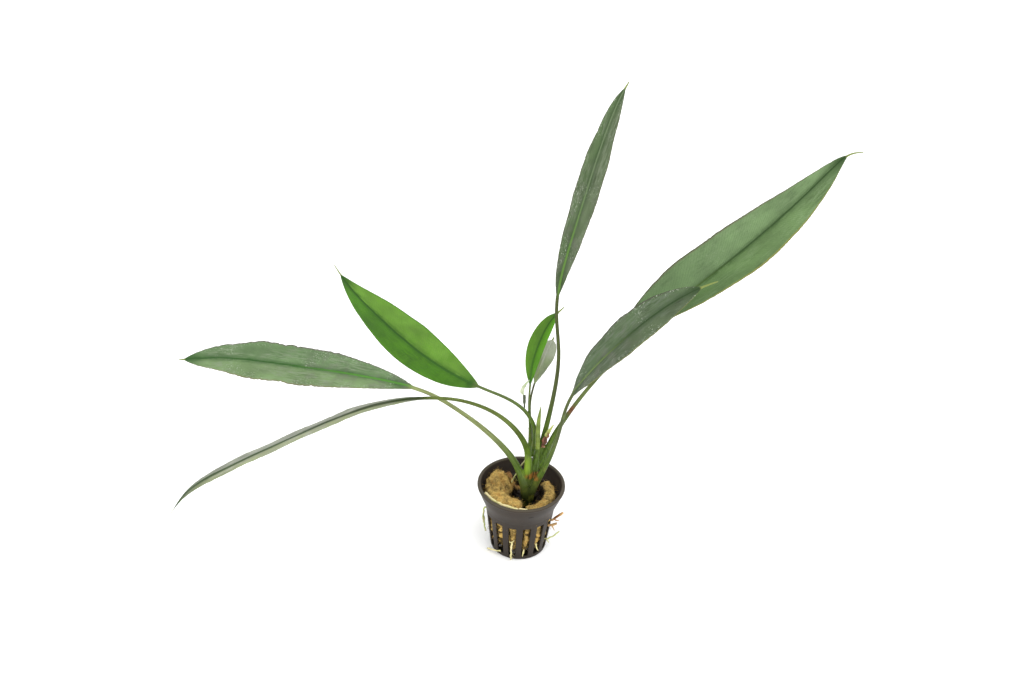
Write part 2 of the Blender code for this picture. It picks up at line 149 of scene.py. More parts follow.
FAR_LEFT = Look(
    "leaf_deep", (0.200, 0.315, 0.130), (0.150, 0.255, 0.105), (0.300, 0.370, 0.240),
    (0.290, 0.250, 0.120), (0.090, 0.300, 0.030), (0.030, 0.110, 0.015), (0.350, 0.410, 0.150),
    streaks=0.7, speckle=1.0, vein=0.2, band=0.85, right_margin=(0.190, 0.160, 0.130))
DROOPING = Look(
    "leaf_pale", (0.340, 0.390, 0.200), (0.300, 0.330, 0.250), (0.520, 0.540, 0.440),
    (0.200, 0.330, 0.030), (0.030, 0.050, 0.010), (0.035, 0.075, 0.010), (0.180, 0.240, 0.060),
    streaks=1.0, speckle=0.3, vein=0.05, band=0.8, bloom=(0.400, 0.390, 0.360), rib_width=4.2,
    dark_tip=0.74, gloss=0.25)
YOUNG = Look(
    "leaf_bright", (0.060, 0.200, 0.005), (0.145, 0.320, 0.035), (0.120, 0.330, 0.006),
    (0.110, 0.330, 0.006), (0.030, 0.130, 0.006), (0.020, 0.095, 0.004), (0.170, 0.250, 0.060),
    streaks=0.35, speckle=0.0, vein=0.4, band=0.65, bloom=(0.090, 0.260, 0.010))
UPRIGHT = Look(
    "leaf_deep", (0.105, 0.170, 0.066), (0.125, 0.175, 0.086), (0.240, 0.290, 0.190),
    (0.140, 0.125, 0.090), (0.140, 0.290, 0.050), (0.035, 0.080, 0.018), (0.100, 0.130, 0.032),
    streaks=0.7, speckle=0.8, vein=0.2, band=0.85, dark_tip=0.97, right_margin=(0.220, 0.210, 0.100),
    rib_far=(0.170, 0.240, 0.120))
# Its base is darkened far out by painted shade, standing in for the shadow of the front right leaf
RIGHT_LARGE = Look(
    "leaf_mid", (0.205, 0.325, 0.140), (0.150, 0.255, 0.090), (0.260, 0.380, 0.185),
    (0.150, 0.130, 0.080), (0.120, 0.200, 0.040), (0.025, 0.072, 0.010), (0.170, 0.225, 0.060),
    streaks=0.5, speckle=0.12, vein=0.45, band=0.6, bloom=(0.150, 0.250, 0.100), wound=WOUND_UP_STALK,
    dark_base=0.72, right_margin=(0.380, 0.360, 0.060))
RIGHT_FRONT = Look(
    "leaf_deep", (0.105, 0.165, 0.074), (0.098, 0.142, 0.068), (0.180, 0.220, 0.160),
    (0.100, 0.085, 0.070), (0.160, 0.240, 0.070), (0.030, 0.070, 0.016), (0.140, 0.185, 0.055),
    streaks=0.7, speckle=1.0, vein=0.25, band=0.75, right_margin=(0.300, 0.310, 0.100))
SMALL_BRIGHT = Look(
    "leaf_bright", (0.100, 0.255, 0.012), (0.095, 0.300, 0.006), (0.150, 0.370, 0.015),
    (0.130, 0.320, 0.010), (0.050, 0.160, 0.012), (0.035, 0.120, 0.008), (0.170, 0.240, 0.050),
    streaks=0.3, speckle=0.0, vein=0.4, band=0.4, bloom=(0.100, 0.280, 0.010))
SMALL_PALE = Look(
    "leaf_pale", (0.250, 0.320, 0.140), (0.320, 0.410, 0.200), (0.480, 0.520, 0.400),
    (0.260, 0.260, 0.150), (0.300, 0.380, 0.150), (0.560, 0.590, 0.470), (0.110, 0.115, 0.040),
    streaks=1.0, speckle=0.8, vein=0.3, band=0.2, dark_tip=0.5)

LEAVES = (
    Leaf(
        "leaf_far_left",
        ((2, -5, 50), (-4, -2, 68), (-24, 4, 86), (-46, 12, 97), (-64, 18, 104), (-105, 33, 101),
         (-150, 50, 93), (-195, 66, 86), (-226, 77, 73)),
        neck=4, stalk=(4.2, 2.4), side=70, turns=(20, 20, 35), width=30,
        base_power=0.9, tip_power=0.85, fold=4, ripple=(0.5, 3.5), thread=4,
        ragged=0.95, look=FAR_LEFT,
    ),
    Leaf(
        "leaf_drooping",
        ((3.6, -3.6, 60), (3.8, -2.8, 80), (-12, -4, 102), (-32, -8, 115), (-53, -12, 121),
         (-90, -18, 119), (-130, -25, 100), (-172, -32, 78), (-202, -38, 62),
         (-213, -41, 42)),
        neck=4, stalk=(3.9, 2.0), side=100, turns=(-16, -24, -12), width=27,
        base_power=0.9, tip_power=0.8, fold=0, ripple=(0.2, 4.5), thread=4,
        ragged=1.3, look=DROOPING,
    ),
    Leaf(
        "leaf_young",
        ((6.4, 3.1, 72.5), (8, 3.6, 86), (1, 6, 101), (-14, 12, 106), (-26, 20, 104), (-58, 50, 98),
         (-90, 86, 101), (-119, 118, 108), (-130, 132, 117)),
        neck=4, stalk=(2.6, 1.8), side=40, turns=(45, 18, -10), width=29,
        base_power=0.8, tip_power=0.85, fold=15, ripple=(0.4, 3.0), thread=8,
        ragged=0.15, look=YOUNG,
    ),
    Leaf(
        "leaf_upright",
        ((10.4, 3.5, 72), (16, 6, 105), (20, 12, 141), (12, 21, 170), (23, 35, 214), (34, 53, 256),
         (44, 68, 284), (50, 74, 293)),
        neck=3, stalk=(2.8, 2.1), side=-20, turns=(-40, -50, -40), width=18,
        base_power=0.85, tip_power=0.8, fold=6, ripple=(0.3, 5.0), thread=4,
        ragged=0.6, look=UPRIGHT,
    ),
    Leaf(
        "leaf_right_large",
        ((12, 1.3, 64), (17, 4, 82), (28, 11, 99), (38, 17, 113), (70, 34, 149), (110, 54, 175),
         (148, 80, 199), (176, 100, 221), (190, 111, 233), (201, 117, 230)),
        neck=3, stalk=(3.5, 2.4), side=-60, turns=(50, -25, -60), width=35,
        base_power=0.65, tip_power=0.85, fold=26, ripple=(0.5, 2.5), thread=12,
        ragged=0.35, look=RIGHT_LARGE,
    ),
    Leaf(
        "leaf_right_front",
        ((9.1, -5.4, 54), (17, -9, 76), (22, -10, 102), (24.5, -11, 125), (43, -12, 155),
         (70, -13, 189), (92, -14, 208), (105, -15, 215)),
        neck=3, stalk=(3.0, 2.0), side=-90, turns=(-10, -30, -60), width=24,
        base_power=0.65, tip_power=0.8, fold=10, ripple=(0.4, 4.0), thread=10,
        ragged=0.5, look=RIGHT_FRONT,
    ),
    Leaf(
        "leaf_small_bright",
        ((4, 4.3, 71), (4, 6.8, 84), (1.5, 9.2, 102), (2, 10.6, 115), (2, 15, 130), (10, 25, 153),
         (20, 31, 161)),
        neck=3, stalk=(1.6, 1.2), side=0, turns=(20, 35, 20), width=12,
        base_power=1.0, tip_power=0.8, fold=20, ripple=(0.2, 2.0), thread=5,
        ragged=0.1, look=SMALL_BRIGHT,
    ),
    Leaf(
        "leaf_small_pale",
        ((6.4, 5.1, 71.4), (4, 10, 84), (2, 13, 100), (4, 16, 112), (9, 22, 128), (15, 29, 140)),
        neck=3, stalk=(1.4, 1.1), side=0, turns=(-10, -20, -20), width=11,
        base_power=1.0, tip_power=0.5, fold=12, ripple=(0.2, 2.0), thread=2,
        ragged=0.5, look=SMALL_PALE,
    ),
)
ROUTE_STEPS = 24
STALK_STATION = 1.8
BLADE_STATION = 1.4
HALF_COLUMNS = 16
COLUMN_POWER = 1.25
BLADE_ROUNDS_OFF_BY = 0.08
WEB_HALF_THICKNESS = 0.2
EDGE_HALF_THICKNESS = 0.05
RIB_HALF_WIDTH = 0.8
RIB_HALF_DEPTH = 0.5
GROOVE_HALF_WIDTH = 0.45
GROOVE_DEPTH = 0.16
LEFT_EDGE_PHASE = 1.9
TIP_HALF_WIDTH = 0.62
THREAD_COLOUR = (0.280, 0.340, 0.090)
VEIN_SPACING = 2.4
BAND_HALF_WIDTH = 3.5
FOOT_SWELL = 0.45
FOOT_GREEN_FROM = 12.0
FOOT_GREEN_UNTIL = 45.0
COCKLE_LENGTH = 17.0
COCKLE_HEIGHT = 0.35
THREAD_STATION = 0.8
BITE_DEPTH = 0.9
BITE_LENGTH = 2.6
HUMP_LENGTH = 22.0

# Rhizome, new shoot and dry sheath: where each centre line runs, and how thick it is there
STEM_ROUTE = (
    (3.6, -2.6, 30.5), (4.2, -2.4, 36), (6.3, -1.5, 47), (7.5, -0.5, 60), (8.4, 0.2, 70),
    (8.8, 0.5, 76),
)
STEM_RADII = (2.6, 3.6, 3.4, 2.8, 2.2, 1.4)
STEM_FEET = 16.0
# Where the orange scar and the fresh green edge sit, in metres
SCAR_PLACE = (0.0068, -0.0048, 0.0580)
FRESH_PLACE = (0.0022, -0.0060, 0.0660)
STEM_FOOT_EXTRA = 0.15
CLASPING_BELOW = 62.0
CLASP_DEPTH = 10.0
SHOOT_ROUTE = ((8.9, 0.6, 72), (8.4, 0.9, 84), (8.2, 1.7, 93), (8.6, 2.6, 100), (9.2, 3.4, 106))
SHOOT_RADII = (1.5, 1.55, 1.4, 0.95, 0.2)
SHEATH_ROUTE = ((11.8, 0.6, 76.6), (12.7, 0.9, 82), (14.5, 1.2, 88.5), (17.9, 1.6, 94))
SHEATH_RADII = (0.9, 1.3, 1.2, 0.2)
TORN_BITS = (
    ("neck_flap", "leaf_pale", ((1.2, 9.2, 121), (-2.2, 8.8, 116), (-3, 8.6, 112), (-1.6, 8.8, 109.6)),
     (0.3, 1.1, 1.2, 0.3), (0.30, 0.36, 0.20), (0.46, 0.50, 0.34)),
    ("neck_shred", "leaf_pale", ((-1.2, 8.8, 110), (-1.1, 8.6, 105), (-0.6, 8.4, 100.3)),
     (0.9, 0.9, 0.3), (0.045, 0.060, 0.020), (0.020, 0.025, 0.010)),
    ("sheath_crumb_low", "sheath_straw", ((10.8, 0.2, 76.6), (12.2, -0.5, 78.4), (13.4, -0.6, 77.6)),
     (0.3, 0.9, 0.2), (0.34, 0.19, 0.12), (0.14, 0.05, 0.02)),
    ("sheath_crumb_side", "sheath_straw", ((11.9, -0.2, 80.2), (11.4, -0.6, 83.0), (12.6, -0.6, 85.6)),
     (0.3, 0.8, 0.2), (0.16, 0.05, 0.02), (0.07, 0.025, 0.01)),
    ("sheath_crumb_top", "sheath_straw", ((13.4, 0.4, 83.5), (15.2, 0.0, 85.6), (14.3, 0.0, 88.6)),
     (0.3, 0.8, 0.2), (0.19, 0.07, 0.02), (0.09, 0.03, 0.01)),
)
LOFT_POINTS = 20
LOFT_STEPS = 8

# Roots: slot, centre line, radius at the start and radius at the end
Root = namedtuple("Root", "name slot route start_radius end_radius")
ROOTS = (
    Root(
        "air_root", "root_green",
        ((2.5, -0.8, 68), (0, 2.2, 62), (-2.5, 4, 55), (-5, 4.5, 48), (-6.2, 4.8, 44.4)), 0.5, 0.4,
    ),
    Root(
        "rim_root", "root_cream",
        ((-22.2, -8.6, 45.3), (-18.4, -14, 45.3), (-12, -18.9, 45.3), (-4, -21.8, 45),
         (4.4, -22, 44.6)), 0.95, 0.75,
    ),
    Root(
        "root_orange", "root_orange",
        ((19.2, 0.4, 18.5), (22, 0.2, 20.5), (24.6, -0.6, 23.4), (27.3, -1.2, 26.8)), 0.75, 0.85,
    ),
    Root(
        "root_brown", "root_brown",
        ((17.6, -7.9, 21.4), (20.6, -8.2, 21.7), (22.2, -7.4, 22.2), (23.8, -7.2, 23)), 0.8, 0.8,
    ),
    Root(
        "root_green", "root_green",
        ((16.1, -7.4, 10), (19.4, -8.2, 10.8), (22.5, -6, 12.2), (25.6, -4.4, 13.4)), 0.5, 0.4,
    ),
    Root(
        "root_front", "root_cream",
        ((-3.7, -18.2, 15.5), (-4.1, -20.3, 14), (-4, -20, 9), (-4.1, -18.9, 3), (-4, -18.6, 0.8)),
        0.6, 0.5,
    ),
    Root(
        "root_base_left", "root_cream",
        ((-19.4, -9.2, 1.1), (-17, -10.4, 1.9), (-13.6, -13.8, 3.2), (-10.4, -15.4, 4.6)), 0.55, 0.45,
    ),
    Root(
        "root_left", "root_green",
        ((-20.6, 0.6, 26.2), (-22.9, 0.6, 27), (-22.8, 0.2, 21), (-22, -0.4, 14), (-20.8, -0.8, 8)),
        0.6, 0.45,
    ),
)
ROOT_STEPS = 8
ROOT_POINTS = 10
ROOT_LUMP = 0.32
SHEATH_WANDER = 0.5
ROOT_WANDER = 0.55
DRIFT_APART = 31.0
WANDER_LENGTH = 3.2
# Side roots and torn bits that only the looks show: slot, centre line, radii and flatness
Bit = namedtuple("Bit", "name slot route radii flatten")
BITS = (
    Bit("side_root_slot", "root_cream", ((11.2, -17.4, 14), (11.8, -18.4, 11.6), (12.7, -18.2, 9.2)),
        (0.45, 0.4, 0.15), 1),
    Bit("side_root_low", "root_cream", ((3.9, -17.6, 8.8), (3.4, -18.2, 6), (3.5, -17.9, 3.4)),
        (0.55, 0.5, 0.2), 1),
    Bit("side_root_front", "root_cream", ((-5.6, -18.6, 15.6), (-4.2, -19.6, 15), (-2.6, -18.6, 17)),
        (0.3, 0.4, 0.2), 1),
    Bit("side_root_brown", "root_brown", ((20.8, -8.2, 21.6), (21.8, -9.2, 20.6), (22.4, -9.8, 19)),
        (0.5, 0.4, 0.15), 1),
    Bit("side_root_upper", "root_brown", ((21.2, -8, 21.9), (22.6, -8.6, 23.2), (23.4, -8.8, 24.4)),
        (0.5, 0.45, 0.2), 1),
    Bit("side_root_green", "root_green", ((17.4, -8.2, 10.4), (18.6, -8.8, 9.2), (19, -8.9, 7.8)),
        (0.4, 0.35, 0.15), 1),
    Bit("side_root_orange", "root_orange", ((21.6, 0.2, 20.4), (23.4, -1.2, 20.2), (25.2, -1.6, 21.4)),
        (0.5, 0.4, 0.2), 1),
    Bit("side_root_left", "root_green", ((-22.6, -0.2, 22), (-23.4, -1.2, 19), (-22.6, -1.8, 16)),
        (0.4, 0.4, 0.15), 1),
)

WOOL_SLOTS = {"wool_left": "wool_ochre", "wool_right": "wool_ochre", "wool_back": "wool_rust"}
BULGE = 1.7
# The hollow round the stem, where the wool is painted dark, partly for wetness and partly as painted shade, in metres
HOLLOW_PLACE = (0.005, 0.001, 0.0)
HOLLOW_RADIUS = 0.0125


def smooth_route(points, steps):
    """Points along the smooth curve that the given corners pull, steps to each stretch."""
    points = [Vector(point) for point in points]
    ends = [2 * points[0] - points[1], *points, 2 * points[-1] - points[-2]]
    knots = [(before + 4 * here + after) / 6 for before, here, after in zip(ends, ends[1:], ends[2:])]
    route = [knots[0]]
    for i in range(len(points) - 1):
        leave, arrive = (points[i].lerp(points[i + 1], share) for share in (1 / 3, 2 / 3))
        route += geometry.interpolate_bezier(knots[i], leave, arrive, knots[i + 1], steps + 1)[1:]
    return route


def distances(route):
    total = [0.0]
    for first, second in zip(route, route[1:]):
        total.append(total[-1] + (second - first).length)
    return total


def point_at(route, along, distance):
    """The point and the direction of travel at a distance along the route."""
    i = next((k for k in range(len(route) - 1) if distance <= along[k + 1]), len(route) - 2)
    share = (distance - along[i]) / (along[i + 1] - along[i])
    here = route[i + 1] - route[i]
    before = route[i] - route[i - 1] if i else here
    after = route[i + 2] - route[i + 1] if i + 2 < len(route) else here
    first = before.normalized() + here.normalized()
    second = here.normalized() + after.normalized()
    return route[i].lerp(route[i + 1], share), first.lerp(second, share).normalized()


def on_bearing(radius, bearing, height=0.0):
    turn = math.radians(bearing)
    return Vector((radius * math.cos(turn), radius * math.sin(turn), height))


def smoothstep(value):
    value = min(max(value, 0.0), 1.0)
    return value * value * (3 - 2 * value)


def mesh_object(name, points, faces, values=None, scale=MM):
    """An object at the origin, closed and facing out. values are its named point values."""
    mesh = bpy.data.meshes.new(name)
    mesh.from_pydata([Vector(point) * scale for point in points], [], faces)
    bm = bmesh.new()
    bm.from_mesh(mesh)
    bmesh.ops.recalc_face_normals(bm, faces=bm.faces)
    bm.to_mesh(mesh)
    bm.free()
    for key, numbers in (values or {}).items():
        mesh.attributes.new(key, "FLOAT", "POINT").data.foreach_set("value", numbers)
    mesh.shade_smooth()
    obj = bpy.data.objects.new(name, mesh)
    bpy.context.scene.collection.objects.link(obj)
    return obj


def tube_faces(rings, points):
    """Quads between rings of equally many points, with a face at each end."""
    faces = [tuple(range(points))[::-1], tuple(range((rings - 1) * points, rings * points))]
    for ring in range(rings - 1):
        for i in range(points):
            j = (i + 1) % points
            faces.append((ring * points + i, ring * points + j,
                          (ring + 1) * points + j, (ring + 1) * points + i))
    return faces


def settled(obj):
    """Makes the object's evaluated shape its own plain mesh, and removes its modifiers."""
    bpy.context.view_layer.update()
    graph = bpy.context.evaluated_depsgraph_get()
    made = bpy.data.meshes.new_from_object(obj.evaluated_get(graph), depsgraph=graph)
    obj.modifiers.clear()
    obj.data = made
    return obj


def finish_piece(obj, slot, *nodes):
    """The piece stands for its CAD nodes and rides on the plant's one body; slot is not used."""
    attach(obj, "root")
    if nodes:
        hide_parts(*nodes)
    return obj


def add(tree, kind, inputs=None, **settings):
    """One node. inputs gives values or other nodes' sockets by input name or number."""
    made = tree.nodes.new(kind)
    for key, value in settings.items():
        setattr(made, key, value)
    for key, value in (inputs or {}).items():
        join(tree, made.inputs[key], value)
    return made


def join(tree, socket, value):
    if isinstance(value, bpy.types.NodeSocket):
        tree.links.new(value, socket)
    elif socket.type == "RGBA" and len(value) == 3:
        socket.default_value = (*value, 1)
    else:
        socket.default_value = value


def calc(tree, operation, *values):
    made = tree.nodes.new("ShaderNodeMath")
    made.operation = operation
    for socket, value in zip(made.inputs, values):
        join(tree, socket, value)
    return made.outputs[0]


def ease(tree, value, low, high):
    """0 at low and 1 at high, smooth between."""
    made = add(tree, "ShaderNodeMapRange", {"Value": value, "From Min": low, "From Max": high},
               interpolation_type="SMOOTHSTEP")
    return made.outputs["Result"]


def grain(tree, vector, scale, detail=3.0, roughness=0.55):
    made = add(tree, "ShaderNodeTexNoise",
               {"Vector": vector, "Scale": scale, "Detail": detail, "Roughness": roughness})
    return made.outputs[0]


def blend(tree, factor, first, second, kind="MIX"):
    made = add(tree, "ShaderNodeMix", {0: factor, 6: first, 7: second}, data_type="RGBA", blend_type=kind)
    return made.outputs[2]


def attribute(tree, name):
    return add(tree, "ShaderNodeAttribute", attribute_name=name).outputs["Fac"]


def here(tree):
    return add(tree, "ShaderNodeTexCoord").outputs["Object"]


def new_finish(name):
    made = bpy.data.materials.new(name)
    made.use_nodes = True
    return made, made.node_tree, made.node_tree.nodes["Principled BSDF"]


def relief(tree, shader, height, depth, strength=1.0):
    made = add(tree, "ShaderNodeBump", {"Height": height, "Distance": depth, "Strength": strength})
    tree.links.new(made.outputs[0], shader.inputs["Normal"])


def stretched(tree, place, along):
    """The place with its lengthwise coordinate scaled down, so that grain runs lengthwise."""
    made = add(tree, "ShaderNodeVectorMath", {0: place, 1: (along, 1, 1)}, operation="MULTIPLY")
    return made.outputs[0]


def shaded(tree, colour, factor):
    """The colour times a grey factor."""
    made = add(tree, "ShaderNodeVectorMath", {0: colour, "Scale": factor}, operation="SCALE")
    return made.outputs[0]


def blade_share(t, leaf):
    """The blade's width at t along it, as a share of its widest."""
    widest = leaf.base_power / (leaf.base_power + leaf.tip_power)
    peak = widest**leaf.base_power * (1 - widest) ** leaf.tip_power
    return t**leaf.base_power * (1 - t) ** leaf.tip_power / peak


def roll_at(t, turns):
    """A smooth turn through its values at the blade's base, middle and tip."""
    base, middle, tip = turns
    return math.radians(base * (1 - t) * (1 - 2 * t) + middle * 4 * t * (1 - t) + tip * t * (2 * t - 1))


def leaf_axes(direction, side, roll):
    """Across and upward directions of a leaf that runs in this direction."""
    reference = on_bearing(1, side)
    across = (reference - direction * reference.dot(direction)).normalized()
    up = across.cross(direction)
    return (
        across * math.cos(roll) + up * math.sin(roll),
        up * math.cos(roll) - across * math.sin(roll),
    )


def bump_at(x, width):
    return math.exp(-((x / width) ** 2))


def leaf_section(leaf, seed, t, past, distance, radius, flat):
    """The section's points as (across, up) in millimetres with their share across and side."""
    share = blade_share(t, leaf)
    rise = math.tan(math.radians(leaf.fold)) * flat
    wave_height, waves = leaf.ripple
    rib = radius + (RIB_HALF_DEPTH - radius) * smoothstep(t / 0.5)
    rib += (WEB_HALF_THICKNESS - rib) * smoothstep((t - 0.5) / 0.5)
    edges = {}
    for side in (-1, 1):
        place = Vector((distance / 5, 3.0 * side, seed))
        bite = max(0.0, noise.noise(Vector((distance / BITE_LENGTH, 9.0 * side, seed))) - 0.3)
        humps = noise.noise(Vector((distance / HUMP_LENGTH, 5.0 * side, seed)))
        worn = 1 + leaf.ragged * (0.05 * noise.noise(place) + 0.04 * noise.noise(place * 4) + 0.10 * humps)
        edges[side] = max(share * leaf.width / 2 * worn - leaf.ragged * BITE_DEPTH * bite * 2, 0)
    least = TIP_HALF_WIDTH * (1 - past / 2)
    section = []
    for i in range(4 * HALF_COLUMNS):
        angle = math.pi * i / (2 * HALF_COLUMNS)
        under = i > 2 * HALF_COLUMNS
        even = 1 - (i % (2 * HALF_COLUMNS)) / HALF_COLUMNS
        even = -even if i >= 2 * HALF_COLUMNS else even
        spread = math.copysign(abs(even) ** COLUMN_POWER, even)
        out = math.cos(angle) * (1 - flat) + spread * flat
        half = max(radius * (1 - t), edges[1 if out > 0 else -1], least)
        x = half * out
        web = WEB_HALF_THICKNESS + (EDGE_HALF_THICKNESS - WEB_HALF_THICKNESS) * smoothstep(abs(out) * 2 - 1)
        web = 0 if i in (0, 2 * HALF_COLUMNS) else web
        if under:
            web = -max(web, rib * bump_at(x, RIB_HALF_WIDTH))
        else:
            web = max(web, rib * bump_at(x, RIB_HALF_WIDTH) * (1 - smoothstep(t * 3)))
            web -= GROOVE_DEPTH * bump_at(x, GROOVE_HALF_WIDTH) * smoothstep(t * 4)
        thick = radius * math.sin(angle) * (1 - flat) + web * flat
        phase = 0 if out > 0 else LEFT_EDGE_PHASE
        wave = wave_height * math.sin(2 * math.pi * waves * t + phase) * out * out * share
        cockle = noise.noise(Vector((distance / COCKLE_LENGTH, out * 1.6, seed + 7))) * COCKLE_HEIGHT
        lift = rise * half * abs(out) ** 1.1 + wave + cockle * share * min(1, abs(out) * 3)
        section.append((x, thick + lift, out, float(under)))
    return section


def make_leaf(leaf, seed, looks):
    """A closed blade with midrib, groove, waves and ragged edges, on its tapering stalk."""
    route = smooth_route(leaf.route, ROUTE_STEPS)
    along = distances(route)
    neck, tip = along[leaf.neck * ROUTE_STEPS], along[-1] - leaf.thread
    foot_radius, neck_radius = (diameter / 2 for diameter in leaf.stalk)
    stations = []
    for start, end, step in ((0, neck, STALK_STATION), (neck, tip, BLADE_STATION),
                             (tip, along[-1], THREAD_STATION)):
        count = round((end - start) / step)
        stations += [start + (end - start) * i / count for i in range(count)]
    stations.append(along[-1])
    points, values = [], {"along": [], "offset": [], "share": [], "under": [], "blade": []}
    for distance in stations:
        t = min(max((distance - neck) / (tip - neck), 0.0), 1.0)
        past = max(distance - tip, 0.0) / leaf.thread
        radius = neck_radius + (foot_radius + FOOT_SWELL - neck_radius) * (1 - min(distance / neck, 1)) ** 2
        centre, direction = point_at(route, along, distance)
        across, up = leaf_axes(direction, leaf.side, roll_at(t, leaf.turns))
        flat = smoothstep(t / BLADE_ROUNDS_OFF_BY)
        for x, y, out, under in leaf_section(leaf, seed, t, past, distance, radius, flat):
            points.append(centre + across * x + up * y)
            for key, value in zip(values, (distance, x, out, under, t)):
                values[key].append(value)
    obj = mesh_object(leaf.name + "_grown", points, tube_faces(len(stations), 4 * HALF_COLUMNS), values)
    obj.data.materials.append(leaf_finish(leaf, seed, looks))
    return finish_piece(obj, leaf.look.slot, leaf.name)


